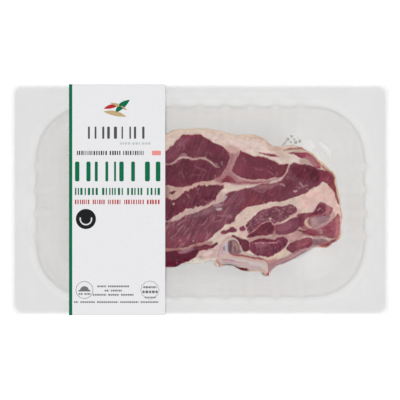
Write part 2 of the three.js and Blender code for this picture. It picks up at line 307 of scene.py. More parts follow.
# Outline of the chop seen from above, clockwise from its hidden end
CHOP_OUTLINE = [
    (-50.5, 0), (-49, 14), (-44, 27), (-37, 36), (-30, 41.5), (-24, 45.1), (-20.7, 47.2), (-17.3, 48.6),
    (-13.9, 48.9), (-0.1, 49.2), (4.7, 49.2), (12.2, 47.9), (17, 46.8), (20.5, 45.6), (27.3, 44.8),
    (34.2, 45.5), (37.6, 44.8), (41, 43.8), (45.2, 41.4), (47.9, 39), (49.3, 37.6), (52, 36.9), (57.5, 37.2),
    (61.6, 37.7), (66.4, 37.2), (69.9, 36.6), (71.9, 35.2), (74, 33.8), (77.4, 32.4), (80.4, 29.4),
    (82, 27.5), (84.2, 26.3), (86.4, 24.4), (88.1, 22.3), (91.5, 19.6), (92.8, 17.7), (93.9, 15.1),
    (94.1, 11.6), (94.8, 8.9), (95.7, 5.4), (96.7, -0.2), (97, -3.6), (97.4, -7), (98.4, -10.5),
    (97.7, -15.3), (97, -19.4), (97.3, -22.8), (97, -25.6), (95.6, -27.6), (93.2, -29.3), (91.2, -30),
    (89.8, -31.7), (87.7, -33.1), (83.6, -33.1), (80.9, -32.8), (78.1, -33.1), (74, -35.5), (69.9, -37.9),
    (65.8, -40.3), (61.6, -42.4), (58.2, -44.1), (54.8, -45.1), (52, -46.5), (49.3, -48.9), (48.6, -51),
    (47.2, -52.7), (45.2, -53), (43.4, -52), (42.4, -49.9), (32.8, -49.6), (28.7, -48.9), (25.3, -47.2),
    (22.5, -45.8), (17, -45.5), (14.3, -46.2), (11.5, -46.5), (10.2, -44.8), (9.1, -42.4), (3.3, -43.4),
    (-3.6, -44.1), (-10.4, -44.4), (-13.9, -45.1), (-15.9, -46.2), (-24, -46.8), (-33, -44.5), (-41, -38.5),
    (-47, -28), (-50, -14),
]
# Muscles: colour, the grain's direction in degrees, how ragged, streaked and speckled, outline
MUSCLES = {
    "shoulder": ((113, 60, 73), 62, 0.2, 0.35, 0, [
        (-23.8, 32.8), (-22.1, 34.8), (-21.1, 36.6), (-18.7, 37.6), (-17.3, 39), (-16.6, 40.7), (-14.6, 42),
        (-12.5, 44.4), (-7, 44.8), (-0.1, 44.8), (4, 42.4), (6.7, 41), (10.2, 39), (13.6, 37.6), (17, 35.2),
        (18.4, 33.5), (19.8, 32.1), (20.5, 29.3), (19.4, 25.9), (17.7, 21.8), (15.6, 19), (13.6, 16.3),
        (11.5, 15.3), (8.1, 13.2), (4.7, 12.9), (1.9, 12.9), (-0.1, 11.8), (-2.9, 11.8), (-7, 10.1),
        (-11.1, 8.8), (-15.2, 8.8), (-19.4, 9.4), (-23.8, 9.8), (-31, 8.8), (-37.2, 5.3), (-42.7, 2.6),
        (-44.8, 9.4), (-40.6, 19), (-34.5, 27.3), (-29, 30.7),
    ]),
    "blade": ((110, 57, 70), 68, 1, 0.25, 0, [
        (-22.1, 0.9), (-19.4, -0.5), (-16.6, 0.2), (-14.6, 1.9), (-11.8, 4.6), (-8.4, 6.7), (-4.3, 8.1),
        (-0.1, 9.8), (6.7, 10.1), (13.6, 10.1), (16, 9.8), (15, 7.4), (13.9, 5.3), (12.2, 3.9), (10.8, 0.5),
        (8.8, -0.9), (6.7, -2.2), (1.9, -4.3), (-2.9, -5), (-7, -6), (-9.7, -6), (-11.1, -7.7), (-13.9, -9.4),
        (-17.3, -10.8), (-21.3, -13.9), (-24.4, -14.5), (-31, -14.5), (-39.3, -6.3), (-45.4, -5),
        (-44.8, -1.5), (-38.6, -0.9), (-30.3, -0.2),
    ]),
    "long": ((121, 68, 82), 58, 0.3, 1, 0, [
        (-24.4, -15.3), (-20.9, -15.4), (-15.2, -13.9), (-13.2, -12.5), (-10.4, -10.8), (-7, -9.6),
        (-3.6, -9.1), (-0.1, -7.7), (3.3, -6), (6.7, -4.6), (10.2, -3.3), (13.6, -2.2), (17, -0.2),
        (17.4, 2.6), (18.4, 3.9), (19.8, 5.1), (22.5, 6), (27.3, 6.7), (30.8, 7.7), (34.2, 8.4), (37.4, 9.5),
        (41, 10.3), (47.9, 11.2), (51.3, 11.6), (54.1, 12.3), (56.1, 13.6), (58.2, 16.3), (61, 21.8),
        (62.3, 24.2), (65.8, 25.6), (68.5, 24.5), (74, 24.2), (77.4, 23.5), (80.2, 22.1), (82.2, 20.8),
        (85, 20.4), (89.7, 19.7), (92.2, 17.2), (93, 10.9), (94, 6.8), (95.1, 2.6), (96.1, -3.6),
        (94.6, -2.2), (92.9, 3.3), (90.5, 7.4), (89.1, 9.4), (87, 11.2), (85, 12.2), (82.9, 10.8),
        (80.9, 9.4), (78.1, 8.8), (75.4, 6.7), (71.9, 3.9), (68.5, 2.9), (65.1, 1.9), (61.6, 0.5),
        (58.9, -0.5), (54.8, -1.2), (47.9, -1.5), (44.5, -2.6), (41, -3.5), (34.9, -4.3), (32.8, -5),
        (30.8, -6.3), (27.3, -9.1), (25.3, -10.5), (24.2, -11.8), (23.9, -13.9), (22.5, -15.3), (19.8, -16.6),
        (17, -17.7), (15, -19.4), (12.9, -21.1), (9.5, -23.9), (6.7, -26.9), (1.9, -29), (-3.6, -30.7),
        (-7, -31.7), (-9.7, -32.8), (-15.2, -33.5), (-23.8, -33.5), (-33.1, -33.1), (-40.6, -27.6),
        (-45.4, -20.1), (-46.1, -11.8), (-39.3, -12.5), (-31, -15.6),
    ]),
    "centre": ((118, 60, 73), 80, 0.1, 0.25, 0, [
        (27.3, 33.8), (29.4, 32.8), (33.5, 31.4), (35.6, 30.4), (41, 29.8), (43.8, 29.1), (46.8, 28.8),
        (49.2, 27.4), (53, 25.4), (55.2, 24.6), (61, 24.2), (60.6, 22.5), (59.6, 19.7), (58.3, 17.3),
        (55.9, 15.7), (50.3, 15.2), (44.5, 14.2), (37.6, 14), (30.8, 14.4), (25.9, 16.3), (23.2, 18.4),
        (22.2, 20.4), (22.5, 22.5), (23.9, 25.9), (25.3, 28.7), (27, 32.1),
    ]),
    "wedge": ((122, 56, 76), 20, 0.3, 0.1, 0, [
        (14.3, 12.5), (16.3, 14.6), (19.1, 16.6), (21.8, 14.9), (24.6, 12.5), (20.5, 11.8),
    ]),
    "speckled": ((118, 66, 80), 35, 0.4, 0.5, 1, [
        (66.8, -7), (65.1, -4.6), (63.7, -3.4), (61, -3.4), (57.5, -4.3), (51.3, -4.8), (47.9, -5.3),
        (44.5, -6.7), (41.7, -7.7), (39, -9.4), (36.9, -11.8), (34.2, -13.9), (32.1, -16), (31.4, -18.7),
        (33.5, -22.8), (34.9, -22.1), (37.6, -20.8), (39.7, -18.7), (41.7, -16.6), (44.5, -15.3),
        (47.9, -14.6), (50.7, -16.6), (52.7, -15.6), (56.1, -14.9), (58.2, -13.9), (60.3, -12.5), (63, -10.8),
        (66.4, -8.8),
    ]),
    "dark": ((104, 50, 66), 30, 0.2, 0.1, 0, [
        (47.9, -15.3), (50.7, -17.7), (51.3, -19.4), (50.7, -21.4), (49.3, -23.5), (45.9, -24.5),
        (37.6, -25.2), (32.1, -26.3), (33.5, -24.2), (38.3, -20.8), (41, -17.7), (44.5, -16),
    ]),
    "middle": ((124, 70, 86), 35, 0.3, 0.3, 0, [
        (52.7, -17.3), (58.2, -16), (61, -14.2), (63.7, -12.5), (67.8, -11.8), (69.9, -13.2), (70.6, -16.6),
        (67.8, -19.4), (65.8, -21.4), (63, -22.8), (56.8, -24.2), (52.7, -23.9), (51.7, -21.4),
    ]),
    "end": ((128, 66, 82), 40, 0.4, 0.5, 0.6, [
        (68.5, -12.1), (73.4, -9.6), (77.6, -8.4), (80.4, -4.5), (82.5, -1.6), (87.4, -3.5), (91.3, -5.9),
        (90.6, -9.1), (88.1, -11.9), (86, -10.8), (82.5, -10.5), (77.6, -10.8), (75.2, -11.7), (73.4, -13.3),
        (71.3, -14.3), (69.6, -13.6),
    ]),
    "lower": ((114, 57, 74), 82, 0.4, 0.5, 0.2, [
        (34.9, -28.7), (38.3, -27.6), (42.4, -26.9), (47.9, -26.9), (51.3, -27.6), (54.8, -25.9),
        (58.2, -25.6), (60.3, -28), (59.6, -30.4), (57.5, -34.1), (54.8, -35.5), (52, -37.2), (49.3, -39),
        (46.5, -39.3), (42.4, -39), (38.2, -38.2), (34.8, -35.8), (34, -32),
    ]),
    "flank": ((122, 63, 77), 20, 0.3, 0.4, 0, [
        (66.4, -28), (70.6, -26.6), (76.1, -26.3), (76.7, -31.7), (73.3, -32.8), (66.4, -35.2), (63, -36.6),
        (59.6, -34.1), (61.6, -30.4),
    ]),
    "crescent": ((104, 54, 67), 60, 0.1, 0.1, 0, [
        (21.8, -24.5), (26.6, -25.6), (29.4, -26.9), (32.8, -28.3), (33.8, -30.4), (33.8, -34.5),
        (30.1, -35.5), (28.3, -33.1), (27, -30.4), (25.9, -27.6), (24.2, -26.3), (21.8, -25.6),
    ]),
    "small": ((118, 62, 80), 30, 0.3, 0.1, 0, [
        (14.3, -22.5), (15.6, -21.1), (17.7, -21.4), (19.8, -20.4), (20.5, -19), (22.5, -18.7), (25.3, -21.1),
        (23.9, -22.1), (20.5, -22.5), (17.7, -23.5), (15, -23.5),
    ]),
    "patch": ((124, 68, 84), 30, 0.4, 0.1, 0, [
        (27.3, -20.1), (30.1, -18), (31.4, -20.1), (29.4, -21.8), (27.7, -21.4),
    ]),
    "base": ((98, 42, 58), 20, 0.2, 0.15, 0, [
        (-23.8, -35.7), (-17.3, -34.5), (-10.4, -34.6), (-4.9, -32.4), (1.2, -30.7), (8.8, -31.1),
        (10.8, -29), (12.2, -30), (7.4, -33.8), (-0.1, -35.2), (-1.8, -37.4), (-4.6, -40.4), (-8.4, -42.3),
        (-12.4, -43.9), (-17.3, -46.2), (-23.8, -46.5), (-29.7, -45.5), (-35.8, -41.4), (-39.9, -36.6),
        (-33.1, -36.6),
    ]),
    "slit": ((128, 52, 68), 0, 0, 0, 0, [
        (40.4, 32.4), (44.5, 32.1), (49.3, 31.7), (54.8, 29.3), (52, 29.5), (46.5, 30.7), (41.7, 31.7),
    ]),
    "arc": ((152, 76, 92), 0, 0.2, 0.2, 0, [
        (61, 32), (64.4, 32.8), (68.5, 32.8), (71.9, 32.5), (75.4, 32.1), (78.1, 30.3), (80.5, 27.3),
        (82.6, 23.9), (82.9, 21.5), (80.2, 21.7), (77.7, 23.9), (76.1, 26.3), (74, 28), (70.6, 28.8),
        (67.1, 30), (64, 31.3),
    ]),
    "island": ((125, 75, 82), 0, 0.4, 0, 0, [
        (-20.4, 5.3), (-18.7, 6.1), (-16.3, 6.6), (-18, 5), (-19.7, 4.3),
    ]),
    "redside": ((150, 84, 96), 20, 0.5, 0.3, 0.5, [
        (70.7, -22), (73.4, -20.5), (77.6, -20.1), (82.5, -19.2), (87.4, -16.8), (91.6, -12.9), (95, -9.6),
        (96.5, -14.3), (96.2, -21.3), (95.8, -24.8), (93.7, -26.2), (88.8, -26.2), (83.2, -25.7),
        (76.9, -25.2), (72, -24.5), (69.6, -23.4),
    ]),
    "joiner": ((126, 70, 84), 35, 0.5, 0.2, 0.2, [
        (67.1, -10.1), (69.9, -9.2), (73.3, -9.5), (74, -11.8), (72.1, -13.9), (71.4, -16.6), (71.7, -18.4),
        (69.5, -19), (67.5, -18.4), (66, -16.6), (66.9, -13.2),
    ]),
}
# Soft changes of colour within the lean: colour, how softly it fades, outline
LEAN_AREAS = {
    "shoulder_low": ((103, 51, 64), 1.6, [
        (-27.6, 23.2), (-17.3, 24.2), (-11.8, 26.6), (-5.6, 25.9), (1.9, 25.9), (6.7, 22.5), (10.8, 19.7),
        (7.4, 15.6), (-0.1, 13.6), (-7, 11.5), (-17.3, 10.8), (-27.6, 12.2),
    ]),
    "shoulder_left": ((130, 74, 88), 2.2, [
        (-22.1, 35.5), (-16.6, 39.6), (-13.2, 43.1), (-7, 43.1), (-9.7, 37.6), (-13.9, 33.5), (-18, 29.3),
        (-22.8, 28.7),
    ]),
    "shoulder_right": ((110, 56, 70), 2, [
        (8.1, 36.9), (15, 34.1), (17.7, 29.3), (15.6, 23.2), (11.5, 25.2), (6.7, 28.7),
    ]),
    "shoulder_top": ((134, 64, 80), 1, [
        (-13.9, 42.7), (-9.7, 44.8), (-0.1, 45.3), (4, 42.7), (-0.1, 43.1), (-7, 42.9),
    ]),
    "blade_dark": ((100, 46, 62), 2, [
        (-23.5, -0.2), (-16.6, -4.3), (-7, -2.2), (-0.1, 1.9), (9.5, 5.3), (10.8, 1.9), (-0.1, -2.2),
        (-11.1, -5.7), (-19.4, -11.2), (-23.5, -11.2),
    ]),
    "long_right_dark": ((100, 42, 56), 2.2, [
        (63.7, 22.5), (71.9, 23.2), (78.1, 21.8), (82.2, 19), (82.9, 13.6), (78.1, 12.2), (71.9, 13.6),
        (65.8, 16.3),
    ]),
    "long_right_darkest": ((88, 34, 48), 1.6, [
        (74.7, 19.7), (79.5, 19.7), (82.2, 16.3), (80.9, 12.9), (76.1, 14.9),
    ]),
    "long_end": ((136, 62, 76), 1.6, [
        (83.6, 19), (89.1, 17.7), (91.2, 13.6), (91.8, 6.7), (89.8, 8.8), (86.3, 12.2), (82.9, 14.2),
    ]),
    "long_strip": ((154, 78, 84), 0.8, [
        (90.5, 11.5), (92.5, 9.4), (93.9, 3.3), (94.2, -2.2), (92.5, 1.2), (90.5, 6.7),
    ]),
    "long_middle": ((112, 56, 68), 2.5, [
        (31.4, 5.3), (42.4, 6.7), (54.8, 8.8), (61.6, 13.6), (64.4, 8.1), (57.5, 1.9), (45.2, -0.9),
        (32.8, -2.2),
    ]),
    "long_low": ((130, 62, 72), 1.4, [
        (34.2, 0.5), (42.4, 0.5), (42.4, -2.2), (35.6, -4.3), (27.3, -7), (30.1, -2.9),
    ]),
    "long_left_low": ((130, 68, 82), 2.5, [
        (-23.5, -24.9), (-10.4, -26.3), (3.3, -23.5), (8.1, -26.3), (-0.1, -29.7), (-13.9, -32.4),
        (-23.5, -32.4),
    ]),
    "centre_right": ((117, 60, 72), 2, [
        (42.4, 27.3), (52, 25.9), (57.5, 22.5), (54.8, 17), (45.2, 16.3), (38.3, 20.4),
    ]),
    "centre_left": ((126, 66, 78), 2, [(23.2, 27.3), (29.4, 28.7), (31.4, 21.8), (28.7, 16.3), (23.2, 18.4)]),
    "dark_middle": ((110, 54, 66), 1.4, [
        (36.9, -22.1), (42.4, -17.3), (47.9, -16.6), (49.3, -21.4), (43.8, -24.2), (36.9, -24.2),
    ]),
    "gap_dark": ((108, 50, 64), 0.9, [
        (68.5, -11.2), (71.6, -11.2), (71.2, -14.6), (70.9, -18), (73.3, -20.8), (70.6, -22.1), (68.2, -18.7),
        (67.8, -14.6),
    ]),
    "middle_pink": ((140, 84, 96), 1.2, [
        (56.8, -15.3), (61.6, -14.6), (63, -18), (59.6, -20.8), (54.8, -21.4), (53.4, -18),
    ]),
    "end_dark": ((108, 46, 62), 0.8, [
        (81.2, -3.6), (83.9, -3.6), (86, -6.3), (84.3, -9.8), (79.5, -10.1), (75.4, -11.2), (76.1, -9.1),
        (80.9, -7),
    ]),
    "end_pink": ((172, 104, 112), 0.9, [
        (86.3, -3.9), (89.1, -4.6), (91.2, -6.3), (91.2, -9.1), (88.8, -11.8), (87, -9.8), (88.4, -6.3),
    ]),
    "side_dark": ((136, 68, 80), 1.2, [
        (70.6, -21.4), (76.7, -20.8), (83.6, -19.4), (89.1, -18), (90.5, -22.1), (85, -24.9), (76.7, -24.9),
        (70.6, -24.9),
    ]),
    "side_rim": ((186, 118, 122), 1, [
        (92.5, -9.8), (96, -7.7), (96.6, -15.3), (96.3, -23.5), (96, -27.6), (91.8, -29), (93.2, -23.5),
        (93.6, -15.3),
    ]),
    "side_patch": ((168, 118, 124), 1, [(78.8, -19.7), (82.9, -19), (83.6, -20.8), (80.2, -21.4)]),
    "side_speck": ((172, 132, 130), 0.7, [(81.9, -21.4), (83.9, -21.3), (83.9, -23.5), (82.2, -23.5)]),
    "base_low": ((92, 34, 54), 1.4, [
        (-24.8, -38.6), (-13.9, -38.6), (-7, -37.2), (-9.7, -40.7), (-16.6, -43.4), (-24.8, -44.1),
    ]),
    "base_shine": ((150, 106, 116), 0.7, [
        (-15.2, -35.9), (-9.7, -34.8), (-4.3, -33.1), (-3.6, -33.9), (-9.1, -36.2), (-13.9, -37),
    ]),
    "base_upper": ((130, 66, 78), 0.8, [
        (-4.3, -33.5), (1.2, -32.4), (8.1, -31.4), (8.1, -32.8), (1.2, -34.5),
    ]),
    "lower_top": ((104, 46, 62), 1, [
        (36.9, -26.9), (42.4, -26.3), (51.3, -27.3), (50.7, -28.3), (42.4, -28.7), (36.9, -29),
    ]),
    "crescent_mid": ((116, 60, 70), 0.8, [
        (29.4, -27.6), (31.4, -27.6), (32.5, -31.7), (31.4, -34.5), (29.4, -32.4),
    ]),
    "flank_pink": ((150, 84, 94), 1.2, [
        (71.2, -26.9), (76.7, -26.6), (76.7, -29.7), (71.2, -31.7), (66.4, -33.8), (66.4, -30.4),
    ]),
    "arc_left": ((148, 72, 88), 1, [
        (63, 32.4), (68.5, 32.2), (73.3, 31.1), (72.6, 29.3), (67.8, 30), (64.4, 31),
    ]),
    "arc_right": ((170, 100, 112), 0.9, [
        (74, 30.7), (77.4, 29.3), (79.5, 25.9), (80.9, 22.5), (78.1, 23.9), (75.4, 27.3),
    ]),
    "lower_pink": ((138, 84, 96), 0.9, [
        (38.3, -30.4), (42.4, -29.7), (46.5, -30.4), (42.4, -32.4), (39, -33.1),
    ]),
    "wedge_light": ((158, 90, 98), 0.8, [
        (9.5, 10.8), (11.5, 14.9), (15.6, 17.3), (20.5, 16.6), (25.9, 12.2), (24.6, 10.1), (16.3, 10.1),
    ]),
    "wedge_core": ((132, 58, 72), 0.9, [(15, 12.5), (16.3, 14.5), (19.1, 14.5), (20.9, 12.5), (18.4, 11.8)]),
    "long_top_right": ((150, 102, 110), 1.3, [
        (35.6, 8.1), (38.3, 10.1), (43.8, 11.5), (50.7, 11.9), (53.4, 10.8), (49.3, 8.3), (43.1, 7),
        (38.3, 6.8),
    ]),
    "long_upper_left": ((140, 98, 106), 1.5, [
        (-8.4, -10.5), (-2.9, -8), (4, -5.7), (10.8, -2.9), (15.6, -2.2), (15.6, -5), (9.5, -7.7),
        (1.9, -10.2), (-5.6, -12.5),
    ]),
}
# Tints of the fat: colour, outline
FAT_AREAS = {
    "right_fat": ((228, 193, 184), [
        (68.5, 1.2), (76.7, 6), (83.6, 9.4), (87.7, 9.4), (91.2, 6), (93.9, -1.5), (95.3, -10.5),
        (91.8, -9.1), (89.8, -4.3), (82.2, -0.2), (78.8, -4.3), (70.6, -6.3), (66.4, -2.9),
    ]),
    "column": ((168, 118, 124), [
        (17.7, 34.1), (21.1, 35.9), (26.3, 34.8), (26.6, 32.8), (24.6, 28.7), (22.8, 24.5), (21.8, 20.4),
        (22.9, 17.7), (25.9, 14.9), (24.6, 12.9), (19.8, 14.9), (15.6, 16), (17, 20.4), (19.5, 25.2),
        (20.9, 29.3),
    ]),
    "under": ((176, 128, 132), [
        (24.6, 15.6), (30.1, 13.8), (38.3, 13.3), (45.2, 13.6), (50.7, 14.2), (55.5, 16.3), (57.5, 17.7),
        (57.5, 14.9), (54.1, 12.2), (46.5, 11.1), (36.9, 10.8), (27.3, 10.4), (20.5, 11.2), (22.5, 13.6),
    ]),
    "left_gap": ((205, 178, 166), [
        (-27.6, 8.8), (-19.4, 8.8), (-11.1, 8.1), (-13.9, 3.9), (-19.4, 0.5), (-27.6, -0.2), (-34.5, 0.5),
        (-39.9, 2.6), (-35.8, 6),
    ]),
    "gristle": ((158, 122, 130), [
        (73, -11.2), (76.7, -10.1), (81.1, -9.8), (85.7, -10.2), (88.4, -11.8), (87.7, -15), (84, -18.3),
        (79.5, -19.5), (76.3, -19.1), (74, -16),
    ]),
    "pocket": ((188, 146, 144), [
        (62, -30), (60.3, -26.9), (62.3, -24.2), (65.8, -21.1), (67.4, -18), (69.9, -18.3), (72.2, -18.2),
        (72.3, -20.1), (70.6, -22.1), (71.2, -24.9), (68.5, -26.9), (65.8, -29),
    ]),
    "silverskin": ((168, 130, 136), [
        (45.2, -42.7), (52, -41.4), (60.3, -38.6), (67.1, -35.2), (74, -32.2), (79.5, -31.9), (77.4, -34.2),
        (68.5, -39.3), (60.3, -43.7), (52, -47.5), (46.5, -49.6),
    ]),
    "wedge_fat": ((222, 198, 178), [
        (44.5, -41), (49.3, -39.3), (52, -37.9), (54.8, -35.9), (56.8, -34.8), (60.3, -37.6), (54.8, -40),
        (51.3, -41.4),
    ]),
    "tail_fat": ((213, 181, 175), [
        (-2.9, -39.3), (-1.5, -37.2), (1.2, -35.9), (8.1, -34.1), (12.9, -31.1), (15.6, -30), (17, -37.9),
        (15, -40.7), (3.3, -41.4), (-0.8, -40.3),
    ]),
    "pale_edge": ((214, 205, 194), [
        (-15.2, -45.5), (-9.1, -42), (-2.2, -41), (10.2, -41.4), (10.2, -43.4), (3.3, -43.8), (-7, -44.8),
        (-15.2, -45.8),
    ]),
    "band": ((219, 193, 180), [
        (23.9, -11.2), (30.8, -6.7), (39.7, -4.3), (49.3, -2.2), (58.9, -1.2), (65.8, 0.5), (68.5, -2.9),
        (65.8, -3.6), (57.5, -2.9), (49.3, -3.9), (42.4, -6), (35.6, -10.1), (31.4, -14.6), (28, -18),
        (21.8, -22.1), (15, -23.5), (19.1, -18),
    ]),
    "grey_end": ((146, 108, 116), [
        (76.1, -27.6), (80.9, -26.7), (85.7, -27.2), (88.4, -29), (84.3, -31.5), (78.8, -31.7), (76.1, -30.4),
    ]),
    "upper_band": ((205, 168, 158), [
        (-23.4, 8.5), (-17.1, 8), (-10.8, 9.9), (-4.5, 12.7), (2.5, 14.5), (8.8, 15.5), (14.4, 16.6),
        (17.2, 12.7), (14.4, 10.6), (6, 10.6), (-1, 9.6), (-6.6, 7.1), (-12.2, 3.6), (-17.1, -0.2),
        (-23.4, -0.2),
    ]),
    "blade_band": ((205, 174, 168), [
        (-23.4, -14.3), (-16.4, -11.9), (-10.8, -7.3), (-3.8, -5.9), (3.2, -2.4), (10.2, 0.4), (14.4, 4.6),
        (18.6, 3.9), (17.2, -1), (11.6, -5.2), (3.2, -6.6), (-4.5, -8.4), (-11.5, -10.8), (-17.8, -15),
        (-23.4, -17.1),
    ]),
    "top_pink": ((228, 204, 196), [
        (2.5, 47), (11.6, 44.9), (21.4, 41.4), (41, 37.9), (41, 32.3), (32.6, 33.7), (21.4, 36.5),
        (14.4, 39.3), (6, 43.5),
    ]),
    "top_pink_right": ((228, 206, 197), [
        (34.2, 39.4), (41.2, 38.7), (48.2, 34.5), (55.2, 32.4), (60.8, 30.3), (59.4, 25.4), (51.7, 26.8),
        (44.7, 31.7), (34.2, 33.1),
    ]),
    "cap_pale": ((222, 205, 194), [
        (60.3, 29.3), (62.3, 31), (65.8, 30), (69.2, 28.4), (67.8, 25.5), (63, 25.4), (60.3, 26.6),
    ]),
    "cap_pink": ((196, 164, 156), [
        (69.2, 28.2), (72.6, 28), (75, 26.6), (76.4, 24.3), (72.6, 24.8), (68.5, 25),
    ]),
    "cap_tan": ((206, 184, 166), [
        (57.5, 34.8), (63, 35.5), (68.5, 34.6), (74, 33.2), (68.5, 33.1), (61.6, 32.9), (57.5, 32.1),
    ]),
    "column_top": ((206, 168, 160), [(17.7, 36.2), (22.5, 36.9), (27.3, 34.8), (24.9, 32.5), (19.8, 32.8)]),
    "corner": ((168, 112, 110), [
        (82.9, -31.1), (87.7, -29), (91.8, -27.4), (96, -25.6), (96.6, -29), (93.2, -31.7), (87.7, -33.5),
        (82.2, -33.5),
    ]),
    "crescent_base": ((164, 106, 112), [
        (71.2, -11.6), (74.7, -10.9), (76.1, -12.5), (75.4, -15.3), (76.7, -18), (77.4, -20.5), (72.6, -20.8),
        (70.6, -18), (70.6, -13.9),
    ]),
    "by_bone": ((190, 142, 138), [
        (27.3, -34.5), (30.1, -36.6), (34.2, -38.3), (39.7, -40), (46.5, -41.4), (52, -40.7), (50.7, -42.7),
        (45.2, -43.4), (38.3, -42), (31.4, -40), (25.9, -37.9),
    ]),
    "over_bone": ((204, 166, 160), [
        (15, -29.7), (17.7, -26.7), (21.8, -25.2), (25.9, -26.9), (28, -31.1), (25.9, -31.7), (23.2, -27.6),
        (19.1, -28.3), (15.6, -32.4),
    ]),
    "by_crescent": ((198, 162, 156), [
        (33.2, -25.6), (35.1, -26.7), (35.3, -31.7), (36, -35.9), (34.2, -34.9), (33.5, -30.4),
    ]),
    "mid_seam": ((192, 152, 148), [
        (32.1, -28.3), (34.9, -26.3), (42.4, -25), (52, -25.4), (60.3, -23.8), (61.6, -25.2), (53.4, -27.6),
        (42.4, -27.4), (34.9, -28.6),
    ]),
    "arc_seam": ((188, 148, 148), [
        (34.2, -23.5), (38.3, -18.4), (42.4, -15.1), (49.3, -14.2), (52.7, -15.5), (50.7, -16.6),
        (43.8, -16.6), (39, -20.1), (35.6, -24.5),
    ]),
    "column_foot": ((166, 118, 120), [
        (10.2, 13.3), (11.5, 15.6), (13.9, 17.9), (15.6, 20.4), (17.7, 19), (17, 15.6), (15.6, 12.5),
        (12.2, 12.3),
    ]),
    "cap_left_tan": ((211, 188, 173), [
        (46.5, 39), (51.3, 36.2), (57.5, 34.8), (60.3, 32.8), (59.6, 28.7), (55.5, 29.3), (52, 32.8),
        (47.2, 34.8),
    ]),
    "label_end": ((166, 132, 126), [(-25.5, 9.4), (-21.7, 8.1), (-21.6, 5.3), (-22.1, 0.8), (-25.5, -0.2)]),
    "middle_gap": ((168, 124, 124), [
        (48.3, -14.3), (50.7, -15.7), (53.1, -17.1), (53, -20.8), (53.8, -23.9), (50, -24.9), (50.2, -20.8),
        (50, -17.3),
    ]),
    "speck_seam": ((208, 172, 164), [
        (51.3, -14.6), (56.1, -13.6), (61.6, -9.8), (66.4, -6.8), (69.9, -7.7), (67.8, -10.9), (62.3, -12.5),
        (57.5, -15.7), (52.4, -17.3),
    ]),
}
# Seams of fat through the lean: colour, width, line
SEAMS = {
    "shoulder_seam": ((190, 158, 154), 1.3, [
        (-24.8, 23.9), (-20.7, 24.8), (-17.3, 26.3), (-15.2, 28.1), (-12.5, 29.1), (-8.4, 29.1), (-5.6, 28.1),
        (-2.2, 28.2), (2.6, 28.7), (5.4, 27.4), (8.1, 25), (11.3, 22.8), (13.3, 22.3),
    ]),
    "end_seam": ((176, 138, 136), 0.6, [
        (-23.9, -10.7), (-22.1, -13.2), (-21.1, -15.3), (-22.1, -17.3), (-23.9, -19.8),
    ]),
    "lower_seam": ((190, 140, 152), 0.8, [(36.2, -30), (45.2, -29.7), (52, -29.7), (54.8, -28.7)]),
    "middle_seam": ((190, 150, 152), 0.7, [
        (34.2, -22.5), (38.3, -20.3), (41.7, -17), (45.2, -15.3), (47.9, -14.8), (51.3, -16.6), (52.7, -16),
    ]),
    "long_edge_seam": ((178, 132, 128), 0.7, [
        (-24.8, -34.2), (-19.4, -34.4), (-13.9, -34.8), (-8.4, -34.1), (-3.6, -32.3), (1.9, -30.5),
        (7.4, -29.8),
    ]),
}
